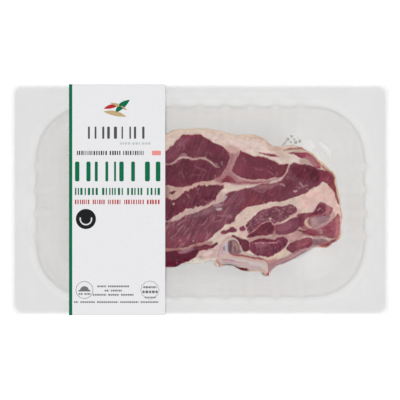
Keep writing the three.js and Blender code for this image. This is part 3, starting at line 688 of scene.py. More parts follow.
# Thin marks on the face: colour, width, line
STROKES = {
    "bright": ((212, 188, 182), 1.5, [(47.9, 11.9), (51.8, 12.7), (55, 14), (57.1, 16)]),
    "red_dark": ((124, 46, 64), 1, [(70.8, -23.8), (74.7, -23.9), (79.5, -23.8)]),
    "pink_thin": ((194, 150, 150), 0.9, [
        (68.5, -27.2), (73.3, -25.8), (78.8, -25.3), (85, -25.4), (90.2, -27.2),
    ]),
    "pink_streak": ((188, 132, 138), 0.8, [(86.1, -2.9), (88.4, -5.4), (88, -8.4), (86.1, -10.9)]),
    "low_edge_dark": ((104, 72, 84), 0.9, [(50, -47.5), (58.2, -44.1), (66.4, -39.6), (72.6, -35.9)]),
    "red_bit": ((128, 52, 64), 1.2, [(11.1, -41.8), (12.2, -43.4), (13.9, -44.8)]),
    "rim_tan_right": ((208, 182, 152), 1.7, [
        (72.6, 34.6), (76.7, 31.8), (80, 29.4), (82.8, 26.6), (87.1, 22.9), (91, 19.6), (93.2, 15.8),
        (93.9, 10.9), (94.9, 5.3), (96, -0.2), (96.8, -5.7),
    ]),
    "rim_low_right": ((206, 156, 134), 1.3, [
        (95, 4.6), (96.7, -2.4), (97.4, -9.4), (97.2, -16.4), (96.7, -23.4), (95.3, -27.6), (90.2, -32),
        (85.3, -33), (81.1, -32.4),
    ]),
    "rim_tan_top": ((208, 186, 162), 1.6, [
        (-22.7, 44.2), (-20.2, 47.4), (-13.6, 48.3), (0.4, 48.9), (11.6, 47.5), (21.4, 45.1), (32.6, 43.7),
        (40.7, 42.3),
    ]),
    "rim_tan_mid": ((196, 162, 146), 1.5, [
        (34.2, 43), (40.5, 42.6), (44.7, 41.2), (48.2, 38), (52.4, 35.8), (57.3, 35.3),
    ]),
    "arc_pale": ((190, 146, 148), 1.1, [
        (92.8, -9.5), (91.3, -12.9), (88.4, -15.5), (85, -17.3), (81.5, -19.3), (77.7, -20.4),
    ]),
    "fleck_1": ((170, 128, 132), 1.3, [(68.5, 12.2), (69.6, 10.8), (70.6, 9.2)]),
    "fleck_2": ((166, 124, 128), 1.2, [(70.6, 8.3), (72.6, 9.7), (74.3, 9.2)]),
    "fleck_3": ((204, 168, 164), 1.1, [(64.1, 6), (65.3, 5.7), (66.7, 6.7)]),
    "fleck_4": ((176, 136, 138), 1, [(67.8, 7.7), (68.9, 8.5)]),
    "pale_thread_1": ((164, 104, 108), 0.6, [(37.2, 21.4), (40.4, 20.7), (43.5, 20.8)]),
    "pale_thread_2": ((166, 108, 112), 0.6, [(46.5, 20), (49.7, 17.7), (53.1, 14.7)]),
    "cream_blob": ((216, 190, 176), 1.6, [(47.5, -12.9), (48.5, -13.6)]),
    "seam_tail": ((160, 132, 140), 0.9, [(14.7, 26.7), (15.3, 23.9)]),
    "dot_1": ((190, 150, 150), 1.4, [(-13.9, -28), (-13.3, -28.1)]),
    "dot_2": ((186, 146, 146), 1.3, [(-5.3, -28.3), (-4.8, -28.5)]),
    "dot_3": ((205, 165, 160), 1.9, [(-18.9, -2.5), (-18.1, -2.8)]),
    "blue_glint_1": ((186, 172, 176), 1.6, [(16.5, 0.5), (17.4, 1.3), (18.3, 2.3)]),
    "blue_glint_2": ((172, 138, 144), 1.5, [(9.1, -4.3), (11.5, -3.7), (15, -3.5)]),
    "blue_glint_3": ((192, 168, 170), 1.7, [(11.3, -6.8), (12.9, -6.6), (15, -5.9)]),
    "seam_glint": ((172, 134, 142), 1.1, [(-11.8, -35.6), (-8.7, -34.5), (-5.9, -33.4)]),
    "crest_light": ((210, 182, 174), 1.1, [(-15.2, 28), (-12.2, 28.9), (-8.4, 28.8)]),
    "edge_red_1": ((70, 22, 28), 1.4, [(-17.7, -45.5), (-16.3, -45.3)]),
    "cap_red": ((158, 92, 98), 1.3, [(57.9, 34.1), (61.6, 34.9), (67.1, 35.6), (71.2, 34.8), (74.7, 33.1)]),
    "cap_light": ((182, 132, 140), 0.8, [(73.3, 31.1), (74, 28.7), (75, 26.2)]),
    "cap_light_2": ((178, 126, 134), 0.8, [(76.7, 28.7), (78.5, 25.5), (81.2, 22.5)]),
    "rim_brown": ((164, 102, 96), 1.2, [
        (79.1, 28.2), (81.6, 25.3), (85.1, 22.3), (88.9, 19.5), (91.7, 16.4), (92.7, 10.8),
    ]),
    "fleck_5": ((184, 146, 146), 1.1, [(55.2, 10.5), (56.8, 10.8), (58.1, 9.4)]),
    "fleck_6": ((176, 138, 140), 0.9, [(72.9, 7.5), (74.4, 7)]),
    "fleck_7": ((150, 88, 98), 1.1, [(71.7, 20.7), (72.6, 20.8)]),
    "fleck_dark": ((78, 36, 48), 1, [(71, 11.6), (71.8, 11.2)]),
    "under_red": ((150, 82, 90), 1, [(21.8, 11.9), (28.7, 11.8), (35.6, 11.8), (43.1, 11.9)]),
    "under_light": ((198, 152, 152), 0.9, [
        (22.9, 19), (26.4, 15.2), (31.4, 13.6), (38.3, 13.1), (45.2, 13.3),
    ]),
    "bright_up": ((202, 164, 160), 0.9, [(57.1, 16), (59.2, 18.4), (60.7, 21.4), (61.5, 24.8)]),
    "column_light": ((190, 142, 142), 0.9, [
        (25.5, 32.8), (23.5, 28.7), (21.6, 23.9), (20.9, 19.7), (22.5, 16.6),
    ]),
    "mottle_1": ((168, 116, 120), 1.1, [(39.7, 9.2), (42.4, 8.8), (45.6, 9.8)]),
    "mottle_2": ((160, 104, 110), 0.9, [(38.3, 6.1), (41.7, 5.3), (45.2, 6.4)]),
    "mottle_3": ((158, 104, 110), 0.8, [(47.9, 8.3), (50.4, 9.7)]),
    "pale_thread_3": ((158, 96, 104), 0.6, [(36.2, 22.6), (38.6, 21.4)]),
    "seam_haze": ((160, 122, 128), 1.8, [(-14.3, 29.8), (-11.8, 31), (-9.1, 30.4)]),
    "seam_end": ((150, 116, 122), 1.2, [(10.2, 25.2), (11.9, 23.6), (12.9, 22.5)]),
    "vein_1": ((146, 94, 102), 0.7, [(-12.1, 18.6), (-11.4, 14.5)]),
    "vein_2": ((142, 86, 96), 0.6, [(-6.7, 16.6), (-3.6, 17.1), (0.1, 16.7)]),
    "vein_3": ((132, 78, 92), 1.4, [(-3.3, 22.9), (-0.8, 21.8), (2.2, 21.2), (4.7, 19.3)]),
    "vein_4": ((152, 98, 110), 0.7, [(-13.2, 39.6), (-13.9, 36.2), (-16.2, 33.5)]),
    "vein_5": ((152, 98, 110), 0.7, [(-10.4, 41.4), (-11.5, 38.3), (-11.1, 35.5)]),
    "fibre_1": ((168, 124, 130), 0.7, [(-16.6, -23.1), (-14.1, -20.1), (-10.8, -17.3)]),
    "fibre_2": ((168, 124, 130), 0.7, [(-20.7, -27.6), (-18.9, -25.3), (-16.6, -23.5)]),
    "fibre_3": ((168, 124, 130), 0.7, [(-0.5, -17.3), (1.9, -17.1), (4, -15), (4.9, -12.9)]),
    "fibre_4": ((168, 124, 130), 0.7, [(-9.1, -27.9), (-7.7, -24.9), (-5.9, -22.4)]),
    "fibre_5": ((168, 124, 130), 0.7, [(4, -27.4), (4.9, -24.2), (4.4, -21.4)]),
    "fibre_6": ((168, 124, 130), 0.7, [(-15.2, -18), (-13.2, -15.7), (-9.7, -13.5)]),
    "fibre_7": ((168, 124, 130), 0.7, [(9.2, -15), (12.9, -14.3), (16.3, -13.5)]),
    "fibre_8": ((168, 124, 130), 0.7, [(11.5, -10.5), (16.3, -11.2), (21.1, -11.4)]),
    "fibre_9": ((168, 124, 130), 0.7, [(-11.4, -24.9), (-9.7, -21.4), (-7.4, -19.1)]),
    "edge_band": ((178, 120, 118), 1.5, [(-24.8, -34.2), (-22.1, -34.1), (-19.4, -34.4)]),
    "crescent_core": ((158, 98, 96), 0.7, [(74.7, -15.7), (75.4, -17.1)]),
    "end_fleck": ((180, 134, 142), 1, [(81.1, -6.9), (83.2, -6.1)]),
    "corner_red": ((130, 64, 76), 1.7, [(83.3, -31.7), (87, -31.1), (90.5, -29.1), (93.2, -27.5)]),
    "silver_light": ((192, 154, 154), 0.8, [(52, -43.7), (60.3, -40.3), (68.5, -36.3), (75.4, -32.8)]),
    "silver_dark": ((138, 98, 108), 0.8, [(53.4, -45.7), (61.6, -41.8), (69.9, -37.2)]),
    "crescent_fat": ((222, 192, 168), 2, [
        (74.3, -12.9), (73.3, -14.4), (73.3, -16.2), (74.4, -18), (76.1, -18.8),
    ]),
    "tail_light": ((226, 200, 196), 2.4, [(2.2, -38.1), (5.4, -37), (8.8, -35.9)]),
    "tail_spot": ((160, 116, 110), 1, [(-0.7, -38.6), (0, -39.8)]),
    "lower_dark_1": ((92, 40, 54), 1, [(56.8, -27.9), (57.8, -29.7), (57.7, -32)]),
    "lower_dark_2": ((92, 40, 54), 1.1, [(53, -34.1), (51.3, -36.1), (50, -38.6)]),
    "lower_dark_3": ((96, 44, 56), 0.8, [(53.5, -29.4), (55.2, -31.1), (55.5, -33.4)]),
    "lower_pale_1": ((158, 108, 116), 0.8, [(52.7, -28.7), (54.5, -27.8)]),
    "end_haze": ((150, 92, 100), 1.6, [(76.1, -11.4), (80.2, -11), (84.3, -10.9)]),
    "spike_1": ((160, 108, 114), 0.8, [(-9.6, 4.4), (-8.1, 2.6), (-6.7, 0.7)]),
    "spike_2": ((166, 116, 120), 1, [(-2.9, 8.3), (-1.8, 6.3)]),
    "spike_3": ((150, 98, 106), 1, [(2.9, -0.7), (4.7, -1.8), (7, -2)]),
    "spike_4": ((160, 108, 112), 0.9, [(9.6, 16.6), (10.8, 14.9)]),
    "hole_dark": ((96, 40, 54), 1.6, [(-21.1, 4.9), (-19.4, 4.8), (-17.6, 5.6)]),
    "streak_dark_1": ((120, 60, 72), 1.3, [(67.5, -20.5), (69.9, -21.7), (72.6, -22.1)]),
    "streak_dark_2": ((128, 68, 80), 1, [(68.8, -18.3), (71, -19.8), (72.9, -19.9)]),
    "streak_pale_1": ((200, 160, 156), 0.8, [(69.9, -23.4), (73.3, -24.2), (77.4, -25.7)]),
    "end_fade": ((166, 112, 118), 2.2, [(87.3, -9), (88.7, -11), (88.1, -12.8)]),
    "cap_veil_1": ((172, 126, 128), 1.6, [(71.6, 29.3), (74.7, 27.6), (77.4, 25.2), (79.5, 22.8)]),
    "cap_veil_2": ((170, 114, 116), 1.2, [(76.1, 30.9), (78.5, 28.7), (80.5, 25.9), (82.6, 22.8)]),
    "arc_inner": ((180, 128, 134), 0.7, [(81.9, -10.8), (85, -10.1), (87, -8.1), (87.4, -5.7)]),
    "arc_pink": ((194, 150, 150), 1.4, [
        (81.2, -18), (84.3, -17), (87.7, -15.3), (90.1, -13.2), (91.2, -10.5), (91.6, -7.4),
    ]),
}
BONE_EDGE = [
    (13.3, -46.1), (12.4, -42.7), (11.9, -39.3), (13.2, -35.2), (14.6, -30.7), (17.7, -27.4), (20.8, -26),
    (23.9, -26.4), (26.5, -28.7), (27.6, -32.8), (30.4, -36.1), (34.2, -37.6), (39.7, -39), (44.1, -41.1),
    (46.4, -44.4), (47.2, -48.2), (47.4, -52.5),
]
CHOP_CENTRE = np.array([24, -1])
CHOP_FLOOR, CHOP_TOP = 1.1, 22.1
EDGE_SPACING = 0.6  # between points round the outline
TOP_SPACING = 0.56  # between points on the face that shows
UNDER_SPACING = 1.3
ROUND_OVER = 5  # how far in from the outline the face starts to fall
ROUND_FALL = 4.3
LEAN_SWELL = 0.45  # muscles stand a little proud of the fat between them
# Side of the chop from the face down: distance in from the outline, height
SIDE_SECTION = [
    (0.12, 17.6), (0.05, 15), (0, 12.5), (0, 10), (0.1, 7.5), (0.35, 5), (0.8, 3.2), (1.5, 1.8), (2.5, 1.1),
]
PATH_SPACING = 0.9  # between points of the shapes drawn on the face
BACK = 22, 30  # the dried skin gets stronger between these places across the chop
CALM_X, CALM_Y, CALM = (24, 40), (-8, 0), 0.8  # towards the right end and the back the lean has fewer streaks
AREA_COVER = 0.85
SKIN_COLOUR = (208, 184, 162)  # dried edge along the back
EDGE_PAINTED_LIGHT = 1.5  # painted light near the outline: the colour is made lighter where the steep edge is shaded, so it looks nearly as light as the face
FAT_COLOUR = (223, 201, 189)
PINK_FAT, RED_VEIN = (214, 172, 166), (182, 118, 122)
LEAN_BY_FAT, PALE_STREAK, PALE_THREAD = (146, 62, 78), (184, 138, 144), (190, 146, 148)
PALE_BLOTCH, FAT_SPECK = (156, 104, 112), (186, 146, 148)
FILM_VEIL = 0.018  # light that the film above adds, taken off the meat's own colour


def albedo(colour):
    return surface(colour, FILM_VEIL)


def smooth_path(points, spacing, closed):
    """Points at even distances along a centripetal Catmull-Rom curve."""
    p = np.array(points, dtype=float)
    p = np.vstack([p[-1], p, p[0], p[1]]) if closed else np.vstack([2 * p[0] - p[1], p, 2 * p[-1] - p[-2]])
    fine = []
    for a, b, c, d in zip(p, p[1:], p[2:], p[3:]):
        t1 = np.linalg.norm(b - a) ** 0.5
        t2 = t1 + np.linalg.norm(c - b) ** 0.5
        t3 = t2 + np.linalg.norm(d - c) ** 0.5
        t = np.linspace(t1, t2, 8, endpoint=False)[:, None]
        a1, a2 = a + (b - a) * t / t1, b + (c - b) * (t - t1) / (t2 - t1)
        a3 = c + (d - c) * (t - t2) / (t3 - t2)
        b1, b2 = a1 + (a2 - a1) * t / t2, a2 + (a3 - a2) * (t - t1) / (t3 - t1)
        fine.append(b1 + (b2 - b1) * (t - t1) / (t2 - t1))
    fine = np.vstack(fine + [fine[0][:1] if closed else p[-2:-1]])
    run = np.hstack([0, np.cumsum(np.linalg.norm(np.diff(fine, axis=0), axis=1))])
    steps = max(round(run[-1] / spacing), 3)
    even = np.linspace(0, run[-1], steps + 1)[: steps if closed else steps + 1]
    return np.column_stack([np.interp(even, run, fine[:, k]) for k in (0, 1)])


def to_line(p, line):
    """Distance from points to a line of points, and how far along it the nearest place is, from 0 to 1."""
    near, place = np.full(len(p), np.inf), np.zeros(len(p))
    for n, (a, b) in enumerate(zip(line, line[1:])):
        t = np.clip(((p - a) @ (b - a)) / max((b - a) @ (b - a), 1e-9), 0, 1)
        d = np.hypot(*(p - a - t[:, None] * (b - a)).T)
        place = np.where(d < near, (n + t) / (len(line) - 1), place)
        near = np.minimum(near, d)
    return near, place


def inside_of(p, loop):
    """Signed distance from points to a closed loop, positive inside."""
    closed = np.vstack([loop, loop[:1]])
    inner = np.zeros(len(p), dtype=bool)
    for a, b in zip(closed, closed[1:]):
        if a[1] != b[1]:
            crosses = (a[1] > p[:, 1]) != (b[1] > p[:, 1])
            inner ^= crosses & (p[:, 0] < (b[0] - a[0]) * (p[:, 1] - a[1]) / (b[1] - a[1]) + a[0])
    return np.where(inner, 1, -1) * to_line(p, closed)[0]


def step(value, low, high):
    t = np.clip((value - low) / (high - low), 0, 1)
    return t * t * (3 - 2 * t)


def wander(p):
    """Points moved a little this way and that, so that bounds of lean and fat are as uneven as meat's."""
    x, y = p[:, 0], p[:, 1]
    slow = np.sin(y / 1.5 + 1.4 * np.sin(x / 3.3)), np.sin(x / 1.7 + 1.2 * np.sin(y / 2.9 + 1))
    quick = np.sin(y / 0.62 + 2 * np.sin(x / 1.4)), np.sin(x / 0.66 + 2 * np.sin(y / 1.3 + 2))
    return p + 0.2 * np.column_stack(slow) + 0.1 * np.column_stack(quick)


outline = smooth_path(CHOP_OUTLINE, EDGE_SPACING, True)[::-1]


def drawn(shapes, closed):
    """A table's shapes, each with its colour as a surface colour and its points on a smooth path."""
    rows = shapes.values()
    return [(albedo(tint), *more, smooth_path(points, PATH_SPACING, closed)) for tint, *more, points in rows]


muscles, lean_areas, fat_areas = (drawn(shapes, True) for shapes in (MUSCLES, LEAN_AREAS, FAT_AREAS))
seams = drawn(SEAMS, False)


def meat_fields(p):
    """What the meat is at each point: depth inside lean, lean and fat colours, grain and texture."""
    rim = -to_line(p, np.vstack([outline, outline[:1]]))[0]
    back = step(p[:, 1], *BACK)
    p = wander(p)
    depth = np.full(len(p), -9.0)
    lean, grain, texture = (np.zeros((len(p), 3)) for _ in range(3))
    weight = np.zeros(len(p))
    for colour, turn, ragged, streaks, speckle, loop in muscles:
        d = inside_of(p, loop)
        depth = np.maximum(depth, d)
        share = np.exp(np.clip(d, -6, 0.6) * 3)
        angle = math.radians(turn)
        lean += share[:, None] * colour
        grain += share[:, None] * np.array([math.cos(angle), math.sin(angle), 0])
        texture += share[:, None] * np.array([ragged, streaks, speckle])
        weight += share
    lean, grain, texture = (v / weight[:, None] for v in (lean, grain, texture))
    for colour, soft, loop in lean_areas:
        share = AREA_COVER * step(inside_of(p, loop), -soft, soft * 0.6)[:, None]
        lean = lean * (1 - share) + colour * share
    texture[:, 1] *= 1 - CALM * step(p[:, 0], *CALM_X) * step(p[:, 1], *CALM_Y)
    fat = np.tile(albedo(FAT_COLOUR), (len(p), 1))
    for colour, loop in fat_areas:
        share = step(inside_of(p, loop), -1.5, 0.8)[:, None]
        fat = fat * (1 - share) + colour * share
    for colour, width, line in seams:
        near, place = to_line(p, line)
        half = width / 2 * np.minimum(1, 0.35 + 4 * np.minimum(place, 1 - place))
        depth = np.minimum(depth, near - half)
        share = step(near, 2.2, 0.6)[:, None]
        fat = fat * (1 - share) + colour * share
    skin = (step(rim, -1.7, -0.5) * (0.15 + 0.75 * back))[:, None]
    fat = fat * (1 - skin) + albedo(SKIN_COLOUR) * skin
    # Painted light: the lean and fat are made lighter near the outline, making up for the shade on the steep
    # edge
    edge_painted_light = 1 + EDGE_PAINTED_LIGHT * np.exp(-((np.abs(rim) / 1.1) ** 1.2))[:, None]
    lean, fat = np.minimum(lean * edge_painted_light, 1), np.minimum(fat * edge_painted_light, 1)
    return {"depth": np.clip(depth, -4, 4), "lean": lean, "fat": fat, "grain": grain, "texture": texture}


def strokes_on(p, strokes):
    """Colour and cover of thin marks painted along lines."""
    rim = to_line(p, np.vstack([outline, outline[:1]]))[0]
    p = wander(p)
    colour, cover = np.zeros((len(p), 3)), np.zeros(len(p))
    for shade, width, line in drawn(strokes, False):
        near, place = to_line(p, line)
        half = width / 2 * np.minimum(1, 0.4 + 4 * np.minimum(place, 1 - place))
        share = step(near, half + 0.5, half - 0.35)
        colour = np.where((share > cover)[:, None], shade, colour)
        cover = np.maximum(cover, share * min(1, 0.55 + width / 3))
    # The marks get the same painted light near the outline
    colour = np.minimum(colour * (1 + EDGE_PAINTED_LIGHT * np.exp(-((rim / 1.1) ** 1.2)))[:, None], 1)
    return colour, cover


def face_height(p, depth=None):
    """Height of the sawn face: nearly level, lean a little proud, falling away at the edge."""
    if depth is None:
        depth = meat_depth(p)
    x, y = p[:, 0], p[:, 1]
    swell = 0.3 * (np.sin(x / 13) * np.cos(y / 17) + 0.5 * np.sin(y / 9 + x / 21))
    fall = np.clip((inside_of(p, outline) - 0.3) / ROUND_OVER, 0, 1)
    proud = LEAN_SWELL * (step(depth, -0.8, 1.4) - 0.5)
    return CHOP_TOP + swell + proud - ROUND_FALL * (1 - np.sqrt(1 - (1 - fall) ** 2.6))


def meat_depth(p):
    depth = np.full(len(p), -9.0)
    for *_, loop in muscles:
        depth = np.maximum(depth, inside_of(p, loop))
    return depth


def triangle_grid(spacing, loop, inset):
    """Points of an even triangular grid that lie inside a loop."""
    low, high = loop.min(0), loop.max(0)
    rows = np.arange(low[1], high[1], spacing * math.sqrt(3) / 2)
    cols = np.arange(low[0], high[0], spacing)
    x, y = np.meshgrid(cols, rows)
    x[1::2] += spacing / 2
    p = np.column_stack([x.ravel(), y.ravel()])
    return p[inside_of(p, loop) > inset]


def round_loop(first, size):
    """Edges round a loop of points that are numbered one after another."""
    return [(first + k, first + (k + 1) % size) for k in range(size)]


def triangulate(flat, edges, loop, hole=None):
    """Triangles between points that keep the given edges and lie inside the loop and outside the hole."""
    made = delaunay_2d_cdt([Vector(p) for p in flat], edges, [], 0, 1e-6, True)
    given = np.array([g[0] for g in made[3]])
    triangles = given[np.array(made[2])]
    centres = flat[triangles].mean(1)
    kept = inside_of(centres, loop) > 0
    if hole is not None:
        kept &= inside_of(centres, hole) < 0
    triangles, centres = triangles[kept], centres[kept]
    a, b, c = (flat[triangles[:, k]] for k in range(3))
    turned = (b - a)[:, 0] * (c - a)[:, 1] - (b - a)[:, 1] * (c - a)[:, 0] < 0
    triangles[turned] = triangles[turned][:, ::-1]
    return triangles, centres


# The bone's edge inside the meat joins two points of the outline, and the outline starts at the first of them
bone_edge = smooth_path(BONE_EDGE, EDGE_SPACING, False)
outline = np.roll(outline, -int(np.argmin(np.hypot(*(outline - bone_edge[0]).T))), axis=0)
bone_end = int(np.argmin(np.hypot(*(outline - bone_edge[-1]).T)))
outward = (outline - CHOP_CENTRE) / np.linalg.norm(outline - CHOP_CENTRE, axis=1)[:, None]
bone_inner = bone_edge[inside_of(bone_edge, outline) > SIDE_SECTION[-1][0] + 0.5]
bone_loop = np.vstack([outline[: bone_end + 1], bone_inner[::-1]])
ring_count, inner_count = len(outline), len(bone_inner)


def sheet(inset, spacing):
    """A triangulated sheet inside the outline: its points come first, then the bone's edge, then the rest."""
    ring = outline - outward * inset
    path = np.vstack([ring[:1], bone_inner, ring[bone_end : bone_end + 1]])
    grid = triangle_grid(spacing, ring, spacing * 0.6)
    grid = grid[to_line(grid, path)[0] > spacing * 0.5]
    flat = np.vstack([ring, bone_inner, grid])
    chain = [0, *range(ring_count, ring_count + inner_count), bone_end]
    triangles, centres = triangulate(flat, round_loop(0, ring_count) + list(zip(chain, chain[1:])), ring)
    return flat, triangles, inside_of(centres, bone_loop) > 0


top_flat, top_faces, top_in_bone = sheet(SIDE_SECTION[0][0], TOP_SPACING)
under_flat, under_faces, under_in_bone = sheet(SIDE_SECTION[-1][0], UNDER_SPACING)
top_height = face_height(top_flat)
top_height[:ring_count] = SIDE_SECTION[0][1]
top_height[ring_count : ring_count + inner_count] -= 0.05
under_height = CHOP_FLOOR + 0.15 * np.sin(under_flat[:, 0] / 6) * np.sin(under_flat[:, 1] / 5)
under_height = np.maximum(under_height, CHOP_FLOOR - 0.1)

# Each level down the side has the outline's points, then the bone edge's
level_size = ring_count + inner_count
levels = []
for inset, height in SIDE_SECTION[1:-1]:
    share = (SIDE_SECTION[0][1] - height) / (SIDE_SECTION[0][1] - CHOP_FLOOR)
    ring = np.column_stack([outline - outward * inset, np.full(ring_count, height)])
    at_bone = slice(ring_count, level_size)
    inner_height = top_height[at_bone] * (1 - share) + under_height[at_bone] * share
    levels.append(np.vstack([ring, np.column_stack([bone_inner, inner_height])]))
top_points = np.column_stack([top_flat, top_height])
under_points = np.column_stack([under_flat, under_height])
points = np.vstack([top_points, *levels, under_points])
starts = [0] + [len(top_points) + k * level_size for k in range(len(levels) + 1)]


def side_faces(chain):
    """Quads down the side below a chain of level points."""
    here, after = np.array(chain[:-1]), np.array(chain[1:])
    quads = [np.column_stack([a + here, b + here, b + after, a + after]) for a, b in zip(starts, starts[1:])]
    return np.vstack(quads).tolist()


bone_chain = [0, *range(ring_count, level_size), bone_end]
bone_outside = list(range(bone_end + 1))
chop_outside = [*range(bone_end, ring_count), 0]


def solid_from(name, in_bone, chain):
    """A closed piece from its share of both sheets and the sides along its chain."""
    turned = under_faces[under_in_bone == in_bone][:, ::-1] + starts[-1]
    used = top_faces[top_in_bone == in_bone].tolist() + turned.tolist() + side_faces(chain)
    keep = np.unique([i for f in used for i in f])
    renumber = np.full(len(points), -1)
    renumber[keep] = np.arange(len(keep))
    return new_mesh(name, points[keep], [renumber[f] for f in used]), points[keep]


def meat_place(p):
    """The place on the face that the meat at a point is like: a side is like what lies just inside it."""
    flat = p[:, :2].copy()
    back = np.clip(0.7 - inside_of(flat, outline), 0, 0.7)
    away = flat - CHOP_CENTRE
    return flat - away / np.linalg.norm(away, axis=1)[:, None] * back[:, None]


chop, chop_points = solid_from("chop_meat", False, bone_chain + chop_outside[1:])
place_on_face = meat_place(chop_points)
mark, cover = strokes_on(place_on_face, STROKES)
for key, values in {**meat_fields(place_on_face), "mark": mark, "cover": cover}.items():
    store(chop, key, values)


def in_millimetres(tree):
    """Place on the object for a pattern whose scale is given per millimetre."""
    place = node(tree, "ShaderNodeTexCoord").outputs["Object"]
    return node(tree, "ShaderNodeVectorMath", {0: place, "Scale": 1 / MM}, operation="SCALE").outputs[0]


def parts(tree, vector):
    return node(tree, "ShaderNodeSeparateXYZ", {0: vector}).outputs


def times(tree, a, b):
    return maths(tree, "MULTIPLY", a, b)


def noise(tree, vector, scale, detail=2.0, roughness=0.55):
    given = {"Vector": vector, "Scale": scale, "Detail": detail, "Roughness": roughness}
    return node(tree, "ShaderNodeTexNoise", given).outputs["Fac"]


def ramp(tree, value, low, high, to_low=0.0, to_high=1.0):
    given = {"Value": value, "From Min": low, "From Max": high, "To Min": to_low, "To Max": to_high}
    return node(tree, "ShaderNodeMapRange", given, interpolation_type="SMOOTHSTEP").outputs["Result"]


def off_middle(tree, value):
    """How far a noise is from its middle, above or below."""
    return maths(tree, "SUBTRACT", value, 0.5)


raw_meat, tree, shader = new_material("raw_meat", IOR=1.42, Specular_IOR_Level=0.03)
mm = in_millimetres(tree)
at = parts(tree, mm)
along, texture = (parts(tree, stored(tree, name, "Vector")) for name in ("grain", "texture"))
with_grain = maths(tree, "MULTIPLY_ADD", at[0], along[0], times(tree, at[1], along[1]))
across_grain = maths(tree, "SUBTRACT", times(tree, at[1], along[0]), times(tree, at[0], along[1]))


def grain_space(tree, long_scale, short_scale):
    """Coordinates stretched along the muscle's grain."""
    u, v = times(tree, with_grain, long_scale), times(tree, across_grain, short_scale)
    return node(tree, "ShaderNodeCombineXYZ", {0: u, 1: v, 2: times(tree, at[2], 0.2)}).outputs[0]


# The edge of the lean wavers a little, and more where a muscle is ragged
fine_edge = off_middle(tree, noise(tree, mm, 1.3))
slow_edge = off_middle(tree, noise(tree, mm, 0.4, 1.0))
teeth = off_middle(tree, noise(tree, grain_space(tree, 0.3, 0.75), 1.0, 1.0))
teeth = times(tree, times(tree, teeth, texture[0]), 2.6)
waver = maths(tree, "MULTIPLY_ADD", fine_edge, 0.8, maths(tree, "MULTIPLY_ADD", slow_edge, 1.2, teeth))
edge = maths(tree, "ADD", stored(tree, "depth"), waver)
is_lean = ramp(tree, edge, -0.62, 0.5)

# Lean: fibres along the grain, darker and lighter patches, redder by the fat, pale streaks and threads,
# specks of fat
fibre = noise(tree, grain_space(tree, 0.16, 1.0), 1.0, 3.0, 0.7)
patch = noise(tree, mm, 0.13)
much = maths(tree, "MINIMUM", maths(tree, "MULTIPLY_ADD", texture[1], 0.8, 0.4), 1.0)
fibre_shade = maths(tree, "MULTIPLY_ADD", ramp(tree, fibre, 0.3, 0.7, -0.24, 0.26), much, 1.0)
shade = times(tree, fibre_shade, ramp(tree, patch, 0.3, 0.7, 0.86, 1.16))
lean = shaded(tree, stored(tree, "lean", "Vector"), shade)
border = ramp(tree, noise(tree, mm, 0.25, 1.0), 0.4, 0.6, 0.1, 0.55)
border = times(tree, ramp(tree, edge, 1.3, 0.3), border)
streak = ramp(tree, noise(tree, grain_space(tree, 0.13, 0.95), 1.0, 2.0, 0.6), 0.52, 0.68)
where = ramp(tree, noise(tree, mm, 0.09, 1.0), 0.4, 0.62, 0.35, 1.0)
streak = times(tree, streak, times(tree, texture[1], times(tree, where, 0.55)))
thread = maths(tree, "ABSOLUTE", off_middle(tree, noise(tree, grain_space(tree, 0.1, 0.2), 1.0, 2.0, 0.6)))
where = ramp(tree, noise(tree, mm, 0.16, 1.0), 0.5, 0.64, 0.0, 0.42)
thread = times(tree, ramp(tree, thread, 0.014, 0.0), where)
blotch = times(tree, ramp(tree, noise(tree, mm, 0.38, 3.0), 0.5, 0.68), times(tree, texture[2], 0.6))
speck = node(tree, "ShaderNodeTexVoronoi", {"Vector": mm, "Scale": 0.42}).outputs["Distance"]
speck = times(tree, ramp(tree, speck, 0.42, 0.14), times(tree, texture[2], 0.45))
for how_much, colour in ((border, LEAN_BY_FAT), (streak, PALE_STREAK), (thread, PALE_THREAD),
                         (blotch, PALE_BLOTCH), (speck, FAT_SPECK)):
    lean = blend(tree, how_much, lean, albedo(colour))

# Fat: cream to pink in soft clouds, finely stringy, with a few thin red veins
cloud = noise(tree, mm, 0.2, 3.0)
string = noise(tree, grain_space(tree, 0.25, 0.9), 1.0, 2.0, 0.6)
fat_shade = times(tree, ramp(tree, cloud, 0.3, 0.7, 0.9, 1.08), ramp(tree, string, 0.3, 0.7, 0.9, 1.08))
fat = shaded(tree, stored(tree, "fat", "Vector"), fat_shade)
pink = ramp(tree, noise(tree, mm, 0.12), 0.5, 0.72, 0.0, 0.45)
vein = maths(tree, "ABSOLUTE", off_middle(tree, noise(tree, mm, 0.17)))
vein = times(tree, ramp(tree, vein, 0.02, 0.0), ramp(tree, noise(tree, mm, 0.1, 1.0), 0.45, 0.6, 0.0, 0.35))
fat = blend(tree, vein, blend(tree, pink, fat, albedo(PINK_FAT)), albedo(RED_VEIN))
uneven = times(tree, stored(tree, "cover"), ramp(tree, noise(tree, mm, 0.7), 0.35, 0.6, 0.5, 1.0))
meat = blend(tree, uneven, blend(tree, is_lean, fat, lean), stored(tree, "mark", "Vector"))
tree.links.new(meat, shader.inputs["Base Color"])
tree.links.new(ramp(tree, noise(tree, mm, 0.5), 0.3, 0.7, 0.34, 0.5), shader.inputs["Roughness"])
roughen(tree, shader, maths(tree, "MULTIPLY_ADD", fibre, is_lean, times(tree, string, 0.6)), 0.35, 0.0006)
chop.data.materials.append(raw_meat)
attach(chop, "root")
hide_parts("chop")

# The rib bone is sawn through with the meat: porous, pale and mauve marrow inside a paler ring of hard bone,
# and its flat lower part shows along the chop's edge down to a small tip. It sits in the meat as it grew.
BONE_COLOUR = (211, 186, 178)
